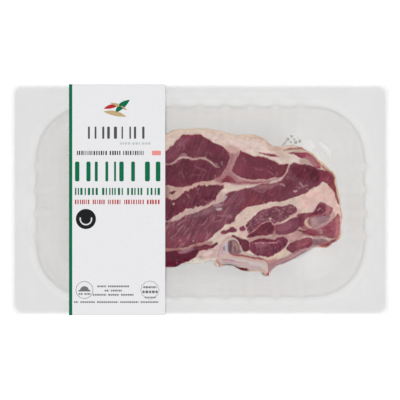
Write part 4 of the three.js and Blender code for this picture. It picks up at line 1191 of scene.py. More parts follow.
# Parts of the bone: colour, outline; and thin marks on it: colour, width, line
BONE_AREAS = {
    "marrow": ((142, 106, 110), [
        (19.1, -29), (21.1, -27.6), (23.9, -27.6), (25.9, -29), (27.3, -31.7), (28.7, -34.5), (27.3, -37),
        (22.5, -37.2), (19.8, -36.6), (18.9, -33.1),
    ]),
    "left_fat": ((214, 186, 178), [
        (12.3, -34), (15, -30.5), (17.3, -28), (17.2, -33), (16.6, -38.5), (18, -41), (13, -43.5),
        (11.8, -39),
    ]),
    "lower_strip": ((206, 190, 186), [
        (19, -40), (30, -40.8), (42, -42.2), (45.4, -45), (45, -48.2), (33, -48), (24, -46.4), (19, -44),
    ]),
}
BONE_STROKES = {
    "ring": ((200, 181, 174), 1.1, [
        (19.5, -27.3), (21.8, -26.7), (24.4, -26.9), (26.8, -29.6), (27.8, -34), (30.8, -36.5), (35.6, -38.3),
        (42.4, -39.5),
    ]),
    "blue": ((184, 188, 202), 1.7, [(18.4, -30), (17.7, -33.1), (18, -36.6)]),
    "maroon": ((150, 88, 106), 1.2, [(16.7, -32.4), (16.7, -35.2)]),
    "bone_streak": ((172, 134, 120), 1.2, [(23.2, -29.3), (24.6, -31.1), (25.5, -33.1)]),
    "red_band": ((158, 92, 98), 1.5, [
        (20.5, -37.1), (25.9, -38.2), (32.8, -39.2), (39.7, -40.5), (45.2, -41.8),
    ]),
    "tan_line": ((212, 172, 152), 0.9, [(24.6, -39.2), (31.4, -40), (39.7, -41.4), (43.8, -42)]),
    "mauve_line": ((172, 128, 140), 0.9, [(14.3, -40.9), (19.8, -41.8), (24.6, -42.3)]),
    "dark_line": ((92, 62, 70), 1.1, [(16.7, -45.1), (21.1, -45.5), (25.9, -46.4)]),
    "dark_red": ((112, 30, 46), 1.6, [(25.3, -46.7), (28.7, -47.8), (32.8, -48.1)]),
    "tan_low": ((222, 180, 152), 0.9, [(33.5, -49.2), (38.3, -48.9), (43.8, -49.6)]),
    "tip_red": ((170, 52, 76), 2, [(45.9, -51.4), (47.2, -50.7), (48.3, -49.6)]),
    "tip_cream": ((226, 192, 182), 1.2, [(44.8, -45.5), (45.7, -48.2), (45.9, -50.6)]),
    "dark_marrow": ((112, 78, 88), 1.4, [(21.1, -28.7), (20.7, -32.2), (21.1, -36.1)]),
    "brown_marrow": ((180, 132, 126), 1, [(23.9, -29), (25.1, -31.7), (25.7, -34.9)]),
    "grey_marrow": ((168, 134, 134), 0.9, [(22.5, -28.6), (22.8, -31.7), (22.5, -35.2)]),
    "pale_ring": ((198, 180, 174), 1.3, [
        (19.8, -27.9), (22.5, -26.7), (25.7, -27.6), (27.3, -30.6), (28.7, -33.8), (31.4, -36.3),
    ]),
    "strip_pink_1": ((196, 150, 158), 0.9, [(14.3, -40.9), (19.8, -42.2), (28, -43), (34.2, -44.1)]),
    "strip_pink_2": ((200, 160, 166), 0.8, [(27, -44.5), (34.2, -45.7), (41, -47.1)]),
    "core_marrow": ((104, 72, 80), 0.7, [(23.2, -31.7), (23.9, -34.9)]),
    "mauve_fat": ((196, 168, 180), 1.6, [(15, -31.1), (14.6, -34.5), (15.4, -37.9)]),
    "notch_red": ((132, 52, 58), 2.2, [(9.9, -41.8), (11.1, -43), (13.2, -44.2)]),
    "notch_tan": ((206, 160, 124), 1.4, [(11.9, -45.7), (13.7, -46), (15.4, -45.3)]),
    "pink_line": ((210, 166, 160), 1, [
        (19.1, -38.6), (25.9, -39.7), (32.8, -40.7), (39.7, -42), (43.8, -43.1),
    ]),
    "strip_pink_3": ((206, 172, 170), 0.9, [(21.8, -43.7), (30.1, -45.1), (36.9, -46.6)]),
    "strip_pale": ((214, 200, 198), 1, [(24.6, -41.8), (32.8, -42.9), (41, -44.7), (44.5, -46.8)]),
    "strip_grey": ((176, 160, 168), 0.8, [(15, -43.1), (20.5, -43.7), (25.3, -44.8)]),
    "left_pink": ((206, 160, 158), 1, [(12.9, -39.3), (12.5, -35.2), (13.6, -31.7)]),
}

bone, bone_points = solid_from("sawn_rib", True, bone_outside + bone_chain[::-1][1:])
flat = meat_place(bone_points)
tint = np.tile(albedo(BONE_COLOUR), (len(flat), 1))
for shade, loop in drawn(BONE_AREAS, True):
    share = step(inside_of(flat, loop), -0.5, 0.4)[:, None]
    tint = tint * (1 - share) + shade * share
mark, cover = strokes_on(flat, BONE_STROKES)
store(bone, "tint", tint * (1 - cover[:, None]) + mark * cover[:, None])

cut_bone, tree, shader = new_material("bone", Roughness=0.45, IOR=1.42, Specular_IOR_Level=0.05)
pores = noise(tree, in_millimetres(tree), 1.6, 3.0)
porous = shaded(tree, stored(tree, "tint", "Vector"), ramp(tree, pores, 0.3, 0.7, 0.86, 1.1))
tree.links.new(porous, shader.inputs["Base Color"])
roughen(tree, shader, pores, 0.4, 0.0005)
bone.data.materials.append(cut_bone)
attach(bone, "root")
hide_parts("rib_bone")

# The top film is drawn down hot over the meat and sealed to the flange. It clings to the chop and the tray's
# ribbed wall, stands off in small tents where it cannot reach a corner, and keeps a few folds and bubbles.
FILM_RAYS = 640
FILM_OVER_MEAT = 0.12
FILM_OVER_TRAY = 0.3
FILM_EDGE = 1  # in from the pack's edge
FILM_FLOOR = SHEET + 0.32
FACE_RINGS, FLOOR_RINGS = 26, 28
FACE_INSETS = (5.2, 4.4, 3.6, 2.9, 2.2, 1.6, 1.1, 0.7, 0.35, 0)  # closer rings where the face rounds over
# Side of the film from the chop's edge down: distance out, height, where it clings and where it is a tent
CLINGING = [
    (0.28, 17.2), (0.3, 14), (0.34, 11), (0.45, 8.4), (0.75, 6), (1.3, 4), (2.2, 2.4), (3.6, 1.4),
    (4.8, 1.12),
]
TENTED = [
    (0.4, 17.5), (1.5, 15.2), (2.8, 12.6), (4.2, 10), (5.6, 7.8), (7, 5.8), (8.6, 4), (10.4, 2.4), (12, 1.2),
]
# Places of the tents: middle, reach, how large
TENTS = [
    ((84, 30), 9, 0.15), ((71, 38), 5, 0.15), ((76, -36), 12, 0.15), ((100, -14), 8, 0.3),
    ((10, -46), 5, 0.35), ((48, -52), 4, 0.5), ((50, 40), 5, 0.4),
]
# Folds of the film: height, half width and the line that each follows
FOLDS = [
    (0.9, 1, [(81, 39), (85, 35.5), (88.5, 31), (90.5, 27)]),
    (0.7, 0.8, [(66, 40.5), (71, 41.5), (76, 40)]),
    (0.5, 0.7, [(57, -47.5), (64, -45), (71, -41.5), (78, -37.5), (85, -36)]),
    (0.5, 0.8, [(100, 3), (102.5, -6), (103, -14)]),
    (0.4, 0.8, [(-22, 51), (-8, 53), (6, 52)]),
    (0.4, 0.8, [(-20, -50.5), (-6, -49), (6, -48)]),
]


def wobble(x, seed):
    """A smooth irregular value from -1 to 1 along a line."""
    draw = np.random.default_rng(seed)
    waves = [np.sin(x * k * draw.uniform(0.7, 1.3) + draw.uniform(0, 6.3)) * 0.5 / k for k in range(1, 8)]
    return np.clip(sum(waves), -1, 1)


def even_outline(count_wanted):
    closed = np.vstack([outline, outline[:1]])
    run = np.hstack([0, np.cumsum(np.linalg.norm(np.diff(closed, axis=0), axis=1))])
    at_run = np.linspace(0, run[-1], count_wanted, endpoint=False)
    return np.column_stack([np.interp(at_run, run, closed[:, k]) for k in (0, 1)]), at_run


rim_of_chop, run = even_outline(FILM_RAYS)
away = rim_of_chop - CHOP_CENTRE
reach = np.linalg.norm(away, axis=1)
away /= reach[:, None]
start = np.tile(CHOP_CENTRE, (FILM_RAYS, 1))


def film_ring(distance, height):
    return np.column_stack([CHOP_CENTRE + away * distance[:, None], height])


def on_meat(distance):
    ring = film_ring(distance, np.zeros(FILM_RAYS))
    ring[:, 2] = face_height(ring[:, :2], 9.0) + FILM_OVER_MEAT
    return ring


def beside_wall(inset, height, share):
    """A ring over the tray's wall or flange, which follows the ribs as the tray does."""
    half = np.array([CAVITY_LENGTH, CAVITY_WIDTH]) / 2
    out = to_edge(start, away, *(half - inset), CAVITY_CORNER - inset, CAVITY_MIDDLE)
    ring = film_ring(out, np.full(FILM_RAYS, height))
    core = half - CAVITY_CORNER
    from_core = ring[:, :2] - CAVITY_MIDDLE
    normal = from_core - np.clip(from_core, -core, core)
    normal /= np.linalg.norm(normal, axis=1)[:, None]
    along_long = np.abs(normal[:, 1]) > 0.999
    along_short = np.abs(normal[:, 0]) > 0.999
    stands_out = np.where(along_long, rib_share(from_core[:, 0], LONG_RIBS), 0)
    stands_out = np.where(along_short, rib_share(from_core[:, 1], SHORT_RIBS), stands_out)
    ring[:, :2] += normal * (RIB_DEPTH * share * stands_out)[:, None]
    return ring


tent = np.zeros(FILM_RAYS)
for place_of_tent, spread, size in TENTS:
    near = np.hypot(*(rim_of_chop - np.array(place_of_tent)).T) / spread
    tent = np.maximum(tent, size * np.exp(-near**2))
tent = np.clip(tent + 0.07 + 0.07 * wobble(run / 3.1, 3) + 0.05 * wobble(run / 0.9, 4), 0, 1)

wall_film = wall.copy()
wall_film[:, 0] += FILM_OVER_TRAY * slope[:, 1]
wall_film[:, 1] -= FILM_OVER_TRAY * slope[:, 0]
wall_film[:, 1] = np.where(wall[:, 0] > 10.9, FILM_FLOOR, wall_film[:, 1])
wall_rings = [beside_wall(*row[:3]) for row in wall_film if row[0] < 11.5]
wall_foot = np.linalg.norm(wall_rings[0][:, :2] - CHOP_CENTRE, axis=1)
room = wall_foot - 0.8 - reach
rings = [on_meat((reach - FACE_INSETS[0] - 1) * share) for share in np.linspace(0.03, 1, FACE_RINGS)]
rings += [on_meat(reach - inset) for inset in FACE_INSETS]
widest = CLINGING[-1][0] + (TENTED[-1][0] - CLINGING[-1][0]) * tent
squeeze = np.minimum(1, room / widest)
for (d0, z0), (d1, z1) in zip(CLINGING, TENTED):
    out = (d0 + (d1 - d0) * tent) * squeeze
    rings.append(film_ring(reach + out, z0 + (z1 - z0) * tent))
foot = reach + out
for share in np.linspace(0, 1, FLOOR_RINGS + 2)[1:-1]:
    rings.append(film_ring(foot + (wall_foot - foot) * share, np.full(FILM_RAYS, FILM_FLOOR)))
rings += wall_rings
for inset, height, painted_shading in RIM_SECTION:
    if inset >= FILM_EDGE:
        out = to_edge(start, away, PACK_LENGTH / 2 - inset, PACK_WIDTH / 2 - inset, PACK_CORNER - inset / 2)
        rings.append(film_ring(out, np.full(FILM_RAYS, height + FILM_OVER_TRAY)))
film_points = np.vstack(rings)
for height, half_width, line in FOLDS:
    near = to_line(film_points[:, :2], smooth_path(line, 1.0, False))[0] / half_width
    film_points[:, 2] += height * np.exp(-near**2)
x, y = film_points[:, 0], film_points[:, 1]
low = step(film_points[:, 2], 4.0, 1.5)
pucker = np.sin(x / 2.1 + 1.5 * np.sin(y / 5)) * np.sin(y / 2.9 + np.sin(x / 7)) + 0.3
film_points[:, 2] += low * 0.12 * pucker
film_points = np.vstack([film_points, [[*CHOP_CENTRE, rings[0][:, 2].mean()]]])
faces = ring_faces(len(rings), FILM_RAYS).tolist()
middle = len(film_points) - 1
faces += [[middle, i, (i + 1) % FILM_RAYS] for i in range(FILM_RAYS)]
film = new_mesh("drawn_film", film_points, faces)

clear_film, tree, shader = new_material(
    "clear_film", Base_Color=(0.1, 0.105, 0.11, 1), Roughness=0.45, IOR=1.5, Alpha=0.03,
    Specular_IOR_Level=0.3,
)
roughen(tree, shader, noise(tree, in_millimetres(tree), 0.35, 3.0, 0.5), 0.3, 0.0008)
film.data.materials.append(clear_film)
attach(film, "root")
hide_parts("skin_film")

# Beside the chop the film shows white reflections where it bends down to the tray's floor. These are painted
# reflections: flat patches of a few thin white layers on the film, which are part of it.
FILM_REFLECTION_PATCHES = [
    [
        (66.8, 36.1), (68.5, 38.5), (71.2, 40.7), (75.4, 41.6), (78.8, 40.7), (80.3, 37.9), (80.2, 34.8),
        (79.5, 31.4), (77.4, 32.5), (74, 34.3), (70.6, 35.8),
    ], [
        (79.8, 35.5), (81.2, 34.1), (83.6, 30), (87, 25.6), (89.1, 22.5), (87.7, 21.8), (85, 24.5),
        (82.6, 28.2), (79.9, 31.4),
    ], [
        (82.6, 40.3), (85, 39.9), (87.7, 38.3), (90.2, 35.1), (91.4, 31.4), (90.9, 28.3), (89.4, 30),
        (86.7, 33.5), (84, 37.2),
    ], [
        (63.4, -42), (68.5, -38.9), (74, -35.5), (78.1, -33), (80.9, -32.8), (77.4, -35.2), (72.6, -38.2),
        (67.1, -41.5),
    ], [
        (64.6, -42.2), (69.9, -39), (74, -36.2), (78.6, -33.2), (83.2, -33.6), (84.4, -35.2), (79.6, -37),
        (75.2, -39.8), (71.3, -41.6), (67.4, -42.9),
    ],
]
WHITE_LAYERS = 3
LAYER_STEP = 0.6  # how much smaller each layer is all round
LAYER_LIFT = 0.03  # between one layer and the next
WHITE_LIFT = 0.15  # of the first layer off the film
WHITE_SPACING = 0.6  # between points
surface_of_film = BVHTree.FromPolygons(film_points.tolist(), [list(map(int, f)) for f in faces])


def film_height(p):
    """Height of the film's surface under each point of the plane."""
    return np.array([surface_of_film.ray_cast(Vector((x, y, 60)), Vector((0, 0, -1)))[0][2] for x, y in p])


points, faces = [], []
for loop in FILM_REFLECTION_PATCHES:
    loop = smooth_path(loop, 0.8, True)
    for layer in range(WHITE_LAYERS):
        grid = triangle_grid(WHITE_SPACING, loop, WHITE_SPACING / 2 + layer * LAYER_STEP)
        if layer == 0:
            flat = np.vstack([loop, grid])
            triangles = triangulate(flat, round_loop(0, len(loop)), loop)[0]
        elif len(grid) > 5:
            flat = grid
            triangles = np.array(delaunay_2d_cdt([Vector(p) for p in flat], [], [], 0, 1e-6, False)[2])
            corners = flat[triangles]
            sides = [np.linalg.norm(corners[:, i] - corners[:, i - 1], axis=1) for i in range(3)]
            triangles = triangles[np.max(sides, axis=0) < 1.5 * WHITE_SPACING]
        else:
            continue
        base = sum(map(len, points))
        level = FILM_FLOOR + WHITE_LIFT + LAYER_LIFT * layer
        points.append(np.column_stack([flat, np.full(len(flat), level)]))
        faces += (triangles + base).tolist()
painted_reflection = new_mesh("painted_film_reflection", np.vstack(points), faces)
# Half-clear white that paints the film's reflection
painted_reflection_white = new_material(
    "painted_reflection_white", Base_Color=(0.95, 0.955, 0.96, 1), Roughness=0.5, Alpha=0.38, Specular_IOR_Level=0.2,
)[0]
painted_reflection.data.materials.append(painted_reflection_white)
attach(painted_reflection, "root")

# Small dark bubbles of juice and air lie under the film beyond the chop's top edge, as the film closed over
# them. One drop is set on each place.
BUBBLE_LIFT = 0.05
FLATNESS = 0.3
# Each drop's place and half its width
BUBBLES = [
    (61.3, 42.3, 1), (63.9, 44.3, 0.75), (66.6, 40.1, 1.05), (69.5, 40.9, 0.95), (65.6, 42.3, 0.6),
    (63.2, 40.2, 0.7), (59.8, 40.7, 0.6), (58.8, 39.3, 0.65), (57.7, 38.2, 0.5), (64.6, 38.3, 0.45),
    (68, 42.9, 0.35), (71.2, 38.6, 0.3),
]
places = np.array([b[:2] for b in BUBBLES])
heights = film_height(places) + BUBBLE_LIFT
bubbles = new_mesh("bubble_places", np.column_stack([places, heights]), [])
store(bubbles, "size", [b[2] for b in BUBBLES])


def bubble_nodes():
    """A flattened drop on every point, a little uneven in width and turned at random."""
    group = bpy.data.node_groups.new("bubbles", "GeometryNodeTree")
    kinds = {"Geometry": "Geometry", "Flatness": "Float", "Seed": "Int", "Material": "Material"}
    for name, kind in kinds.items():
        group.interface.new_socket(name, in_out="INPUT", socket_type="NodeSocket" + kind)
    group.interface.new_socket("Geometry", in_out="OUTPUT", socket_type="NodeSocketGeometry")
    given = group.nodes.new("NodeGroupInput").outputs

    def at_random(low, high):
        limits = {2: low, 3: high, "Seed": given["Seed"]}
        return node(group, "FunctionNodeRandomValue", limits, data_type="FLOAT").outputs[1]

    size = node(group, "GeometryNodeInputNamedAttribute", {"Name": "size"}, data_type="FLOAT").outputs[0]
    uneven, turn = at_random(0.8, 1.25), at_random(0.0, math.tau)
    in_metres = times(group, size, MM)
    across, high = times(group, in_metres, uneven), times(group, in_metres, given["Flatness"])
    scale = node(group, "ShaderNodeCombineXYZ", {0: across, 1: in_metres, 2: high}).outputs[0]
    rotation = node(group, "ShaderNodeCombineXYZ", {2: turn}).outputs[0]
    drop = node(group, "GeometryNodeMeshUVSphere", {"Segments": 20, "Rings": 10}).outputs[0]
    inputs = {"Points": given["Geometry"], "Instance": drop, "Rotation": rotation, "Scale": scale}
    made = node(group, "GeometryNodeInstanceOnPoints", inputs).outputs["Instances"]
    for kind in ("RealizeInstances", "SetShadeSmooth", "SetMaterial"):
        more = {"Material": given["Material"]} if kind == "SetMaterial" else {}
        made = node(group, "GeometryNode" + kind, {"Geometry": made, **more}).outputs["Geometry"]
    group.links.new(made, group.nodes.new("NodeGroupOutput").inputs[0])
    return group


def grown(made, group, values):
    """Replaces an object's mesh by what the nodes make from it, with the inputs set first."""
    modifier = made.modifiers.new(group.name, "NODES")
    modifier.node_group = group
    for item in group.interface.items_tree:
        if item.in_out == "INPUT" and item.name in values:
            modifier[item.identifier] = values[item.name]
    bpy.context.view_layer.update()
    mesh = bpy.data.meshes.new_from_object(made.evaluated_get(bpy.context.evaluated_depsgraph_get()))
    made.modifiers.clear()
    made.data = mesh


juice = new_material(
    "bubble_juice", Base_Color=(0.36, 0.355, 0.35, 1), Roughness=0.3, Alpha=0.6, Specular_IOR_Level=0.4,
)[0]
grown(bubbles, bubble_nodes(), {"Flatness": FLATNESS, "Seed": 5, "Material": juice})
bubbles.name = "film_bubbles"
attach(bubbles, "root")

# The label is a band of smooth white paper laid across the pack, turned down over both long edges and glued
# in under the flange. Its left edge is printed green.
LABEL_LEFT, LABEL_WIDTH = -90, 66
LABEL_THICK = 0.24
LABEL_OVER = PACK_HEIGHT + 0.92  # underside of the paper on top of the film
LABEL_SIDE = PACK_WIDTH / 2 + 0.12
LABEL_UNDER = 25.5  # top of the paper under the flange
LABEL_RETURN = 9
FOLD_ROUND = 1.1
GREEN_EDGE = 2.3
LABEL_COLUMNS = 78
TOP_POINTS, BEND_POINTS, UNDER_POINTS = 61, 9, 7  # along half the band: over the pack, round a bend, under it
WAVES_WITHIN = 76, 60  # the paper waves between its two glued ends, from here inwards
PAPER_COLOUR = (236, 236, 238)
GREEN = (0, 110, 76)


def band_section():
    """Middle line of the paper seen along the pack, from one end under the flange to the other."""
    thick = LABEL_THICK / 2
    side, top, under = LABEL_SIDE + thick, LABEL_OVER + thick, LABEL_UNDER - thick
    quarter = np.linspace(0, math.pi / 2, BEND_POINTS)
    r = FOLD_ROUND
    half = [np.column_stack([np.linspace(0, side - r, TOP_POINTS), np.full(TOP_POINTS, top)])]
    half.append(np.column_stack([side - r + r * np.sin(quarter), top - r + r * np.cos(quarter)])[1:])
    half.append(np.column_stack([side - r + r * np.cos(quarter), under + r - r * np.sin(quarter)]))
    returned = np.linspace(side - r, LABEL_SIDE - LABEL_RETURN, UNDER_POINTS)[1:]
    half.append(np.column_stack([returned, np.full(len(returned), under)]))
    half = np.vstack(half)
    return np.vstack([half[::-1] * [-1, 1], half[1:]])


def paper_lift(x, y):
    """How far the paper stands up from flat: it waves slightly over the open cavity."""
    over = step(np.abs(y), *WAVES_WITHIN)
    return over * (0.1 * np.sin(x / 11 + 0.6 * np.sin(y / 19)) * np.sin(y / 15 + 0.4) - 0.02)


section = band_section()
tangent = np.gradient(section, axis=0)
tangent /= np.linalg.norm(tangent, axis=1)[:, None]
section_out = np.column_stack([-tangent[:, 1], tangent[:, 0]])
columns = LABEL_LEFT + np.linspace(0, LABEL_WIDTH, LABEL_COLUMNS)
sides = []
for offset in (-LABEL_THICK / 2, LABEL_THICK / 2):
    line = section + section_out * offset
    along_pack, up = line[:, 0], line[:, 1]
    sides.append(np.array([
        np.column_stack([np.full(len(line), x), along_pack, up + paper_lift(x, along_pack)]) for x in columns
    ]))
under_side, top_side = sides
rows, cols = len(section), len(columns)


def label_faces():
    """The paper's two faces and its four edges."""
    used = []
    turned = cols * rows
    for c in range(cols - 1):
        for r in range(rows - 1):
            a, b = c * rows + r, (c + 1) * rows + r
            used.append([a, b, b + 1, a + 1])
            used.append([turned + v for v in (a + 1, b + 1, b, a)])
    for c in range(cols - 1):
        for r, way in ((0, 1), (rows - 1, -1)):
            a, b = c * rows + r, (c + 1) * rows + r
            used.append([a, turned + a, turned + b, b][::way])
    for r in range(rows - 1):
        for c, way in ((0, -1), (cols - 1, 1)):
            a = c * rows + r
            used.append([a, turned + a, turned + a + 1, a + 1][::way])
    return used


label = new_mesh("paper_label", np.vstack([*top_side, *under_side]), label_faces())
label.data.shade_flat()

label_paper, tree, shader = new_material("label_paper", Roughness=0.6, Specular_IOR_Level=0.03)
mm = in_millimetres(tree)
edge_place = maths(tree, "ADD", parts(tree, mm)[0], times(tree, noise(tree, mm, 0.3), 0.1))
printed = maths(tree, "LESS_THAN", edge_place, LABEL_LEFT + GREEN_EDGE)
paper = noise(tree, mm, 0.6, 4.0)
face = blend(tree, printed, surface(PAPER_COLOUR), surface(GREEN))
tree.links.new(shaded(tree, face, ramp(tree, paper, 0.3, 0.7, 0.985, 1.01)), shader.inputs["Base Color"])
roughen(tree, shader, paper, 0.06, 0.0004)
label.data.materials.append(label_paper)
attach(label, "root")
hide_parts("label")

# The print on the label is ink lying on the paper: rows of plain bars in green, grey, dark and red, a little
# emblem of leaves, and round badges. Each ink is a thin flat skin a hair above the paper.
INK_LIFT = 0.03
INKS = {
    "green": (0, 110, 74), "grey": (82, 84, 88), "dark": (52, 54, 58), "red": (186, 48, 50),
    "black": (30, 31, 34), "pale": (196, 204, 200), "tan": (196, 170, 128), "rose": (238, 150, 146),
    "fine": (118, 118, 122), "blank": (226, 227, 229),
}
STROKE_SHARE, GAP_SHARE = (0.12, 0.27), (0.18, 0.4)  # least and most of the height, for strokes of tall rows
CLOSE_STROKE, CLOSE_GAP = (0.17, 0.36), (0.16, 0.3)  # the same for rows less tall than the next value
CLOSE_BELOW = 6
SOLID_BELOW = 2  # rows less tall than this are short solid bars
SOLID_BAR, SOLID_GAP = (0.6, 1.1), 0.25
# Rows of bars: ink, left end, middle height, height, roundness, gap between groups, each group's length
INK_ROWS = [
    ("grey", -77, 46, 8.4, 3.4, 1.6, [8.2, 6.4, 9, 7.2, 4.6]),
    ("pale", -55, 38.6, 1.7, 0.7, 1.2, [7.2, 5.4, 6]),
    ("dark", -84.6, 32.1, 3, 1, 1.9, [20.6, 7.4, 14.6]),
    ("green", -85.9, 19.4, 13.6, 1.2, 2.2, [11.4, 14.6, 15.4, 10.6]),
    ("green", -85.9, 5.7, 5, 0.8, 2.4, [16.2, 14.8, 11.2, 9.6]),
    ("red", -85.9, -1.5, 3.2, 0.8, 2, [10.2, 8.4, 9.2, 13.6, 8.8]),
    ("fine", -70.6, -59.4, 1.3, 0.5, 1.3, [6, 14.6]),
    ("fine", -65.6, -62.3, 1.3, 0.5, 1.3, [3, 7.6]),
    ("fine", -73.6, -65.2, 1.3, 0.5, 1.3, [9.2, 7.4, 8.6]),
    ("fine", -86.6, -70.2, 1.2, 0.4, 1.4, [3, 10, 14.5, 12.6, 12.2]),
    ("fine", -83.4, -64.6, 1.3, 0.4, 1, [3, 4.2]),
    ("fine", -39, -60, 1.5, 0.5, 1, [9]),
    ("fine", -39.6, -63.2, 1.9, 0.6, 1, [10.4]),
    ("fine", -38, -66.9, 0.9, 0.3, 1, [7.6]),
]


def bar(left, middle, length, tall, corner):
    """Outline of a bar with rounded corners, anticlockwise."""
    corner = min(corner, tall / 2, length / 2)
    points = []
    for turn, sx, sy in ((0, 1, 1), (1, -1, 1), (2, -1, -1), (3, 1, -1)):
        angles = (turn + np.linspace(0, 1, 6)) * math.pi / 2
        cx, cy = left + length / 2 + sx * (length / 2 - corner), middle + sy * (tall / 2 - corner)
        points.append(np.column_stack([cx + corner * np.cos(angles), cy + corner * np.sin(angles)]))
    return np.vstack(points)


def disc(cx, cy, radius, lobes=0, depth=0.0):
    angles = np.linspace(0, 2 * math.pi, 72, endpoint=False)
    r = radius * (1 + depth * np.cos(lobes * angles))
    return np.column_stack([cx + r * np.cos(angles), cy + r * np.sin(angles)])


def leaf(tail, tip, belly):
    """A pointed leaf between two ends, bowed to one side."""
    tail, tip = np.array(tail, dtype=float), np.array(tip, dtype=float)
    along = tip - tail
    across = np.array([-along[1], along[0]]) / np.linalg.norm(along)
    t = np.linspace(0, 1, 15)[:, None]
    wide = np.sin(math.pi * t) ** 0.9
    one = tail + along * t - across * belly * 0.35 * wide
    other = tail + along * t + across * belly * 0.65 * wide
    return np.vstack([one, other[-2:0:-1]])


def arc(cx, cy, radius, width, first, last):
    """A band of even width along part of a circle, between two angles in degrees."""
    angles = np.radians(np.linspace(first, last, 40))
    way = np.column_stack([np.cos(angles), np.sin(angles)])
    return np.array([cx, cy]) + np.vstack([way * (radius + width / 2), way[::-1] * (radius - width / 2)])


def ink_piece(name, ink, loops, holes=(), lift=INK_LIFT):
    """Ink on the paper inside the loops and outside the holes, as a thin flat skin."""
    points, faces = [], []
    for number, loop in enumerate(loops):
        hole = holes[number] if number < len(holes) else None
        edges = round_loop(0, len(loop))
        if hole is None:
            flat = np.vstack([loop, triangle_grid(2.6, loop, 0.8)])
        else:
            flat = np.vstack([loop, hole])
            edges += round_loop(len(loop), len(hole))
        triangles = triangulate(flat, edges, loop, hole)[0]
        height = LABEL_OVER + LABEL_THICK + paper_lift(flat[:, 0], flat[:, 1]) + lift
        base = sum(map(len, points))
        points.append(np.column_stack([flat, height]))
        faces += (triangles + base).tolist()
    made = new_mesh(name, np.vstack(points), faces)
    made.data.materials.append(ink_material(ink))
    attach(made, "root")
    return made


made_inks = {}


def ink_material(ink):
    """Ink that lies on the paper with a slightly uneven cover."""
    if ink in made_inks:
        return made_inks[ink]
    made, tree, shader = new_material("ink_" + ink, Roughness=0.6, Specular_IOR_Level=0.03)
    worn = ramp(tree, noise(tree, in_millimetres(tree), 1.4, 3.0), 0.3, 0.7, 0.93, 1.06)
    tree.links.new(shaded(tree, surface(INKS[ink]), worn), shader.inputs["Base Color"])
    made_inks[ink] = made
    return made


# Each group is a row of upright strokes, uneven in width and gap, or short solid bars where it is small
rows_of_ink, draw = {}, np.random.default_rng(12)
for ink, left, middle, tall, corner, gap, lengths in INK_ROWS:
    bars = rows_of_ink.setdefault(ink, [])
    small = tall < SOLID_BELOW
    widths, gaps = (CLOSE_STROKE, CLOSE_GAP) if tall < CLOSE_BELOW else (STROKE_SHARE, GAP_SHARE)
    widths = SOLID_BAR if small else widths
    for length in lengths:
        place_of_bar, right = left, left + length
        while place_of_bar < right - 0.1 * tall:
            wide = min(tall * draw.uniform(*widths), right - place_of_bar)
            bars.append(bar(place_of_bar, middle, wide, tall, min(corner, wide / 3)))
            place_of_bar += wide + tall * (SOLID_GAP if small else draw.uniform(*gaps))
        left = right + gap
for ink, bars in rows_of_ink.items():
    ink_piece("words_" + ink, ink, bars)
ink_piece("emblem_tan", "tan", [leaf((-66.5, 60.5), (-50.5, 57), 3.4), leaf((-62, 66.5), (-50, 61.5), 2.6)])
ink_piece("emblem_green", "green", [leaf((-58.5, 59.5), (-48.2, 68.6), 4.2)])
ink_piece("emblem_red", "red", [leaf((-66.2, 62.5), (-56, 64.6), 2.8)])
ink_piece("small_mark", "rose", [bar(-33.1, 32.1, 6.2, 3.2, 0.8)])
ink_piece("badge", "black", [disc(-78.4, -13.2, 6.9)])
ink_piece("badge_arc", "blank", [arc(-78.4, -13.2, 3.9, 0.9, 165, 375)], lift=2 * INK_LIFT)
ink_piece("seal_ring", "fine", [disc(-79.4, -61.9, 6)], [disc(-79.4, -61.9, 5.65)])
ink_piece("seal_dome", "fine", [arc(-79.4, -62.4, 1.6, 3, 5, 175), bar(-83.6, -62.4, 8.4, 1, 0.4)])
ink_piece("seal_lobes", "fine", [disc(-34.5, -61.9, 6.2, 12, 0.045)], [disc(-34.5, -61.9, 5.9, 12, 0.05)])

# A plain near-white floor. One wide soft light straight above and an even white surround light the pack, and
# the camera looks straight down from above the middle of the pack.
FLOOR_HALF = 3
LENS_HEIGHT = 1.6
PICTURE_WIDTH = 274.56  # millimetres across the picture at the height of the flange
VIEW_MIDDLE = (-0.137, -0.17)
SURROUND = 0.36
LAMP = (0, 0, 1.5), 2.85, 5  # where it is, its strength and its softness


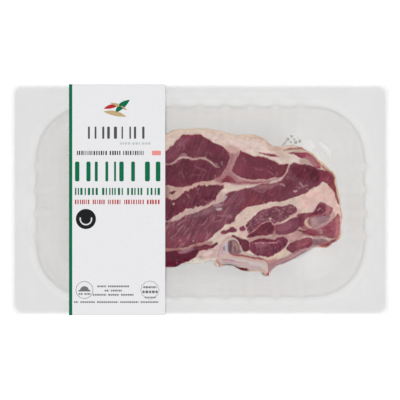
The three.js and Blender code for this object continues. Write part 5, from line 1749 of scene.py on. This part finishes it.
def new_light(name, comes_from, strength, softness):
    """An even soft light from far away, whose softness is how wide it looks in degrees."""
    light = bpy.data.lights.new(name, "SUN")
    light.energy = strength
    light.angle = math.radians(softness)
    made = bpy.data.objects.new(name, light)
    made.location = comes_from
    made.rotation_euler = Vector(comes_from).to_track_quat("Z", "Y").to_euler()
    bpy.context.collection.objects.link(made)


# The floor is a large level sheet with a finer middle
steps = np.array([-FLOOR_HALF, -0.8, -0.3, -0.1, 0.1, 0.3, 0.8, FLOOR_HALF]) / MM
x, y = np.meshgrid(steps, steps)
grid = np.column_stack([x.ravel(), y.ravel(), np.full(x.size, -0.02)])
n = len(steps)
corners = [r * n + c for r in range(n - 1) for c in range(n - 1)]
floor = new_mesh("studio_floor", grid, [[k, k + 1, k + n + 1, k + n] for k in corners])
floor_paint, tree, shader = new_material("floor_paint", Roughness=0.8, Specular_IOR_Level=0.2)
grain = noise(tree, node(tree, "ShaderNodeTexCoord").outputs["Object"], 30.0, 3.0)
tree.links.new(shaded(tree, (1, 1, 1), ramp(tree, grain, 0.3, 0.7, 0.95, 0.97)), shader.inputs["Base Color"])
shader.inputs["Emission Color"].default_value = (1, 1, 1, 1)
shader.inputs["Emission Strength"].default_value = 0.12
floor.data.materials.append(floor_paint)

scene = bpy.context.scene
scene.world = bpy.data.worlds.new("surround")
scene.world.use_nodes = True
surround = scene.world.node_tree.nodes["Background"]
surround.inputs["Color"].default_value = (1, 1, 1, 1)
surround.inputs["Strength"].default_value = SURROUND
new_light("over_light", *LAMP)
scene.view_settings.view_transform = "Standard"

lens = bpy.data.cameras.new("camera")
lens.sensor_width = 36
lens.lens = lens.sensor_width * (LENS_HEIGHT - PACK_HEIGHT * MM) / (PICTURE_WIDTH * MM)
lens.clip_start, lens.clip_end = 0.05, 20
camera = bpy.data.objects.new("camera", lens)
camera.location = (VIEW_MIDDLE[0] * MM, VIEW_MIDDLE[1] * MM, LENS_HEIGHT)
bpy.context.collection.objects.link(camera)
scene.camera = camera
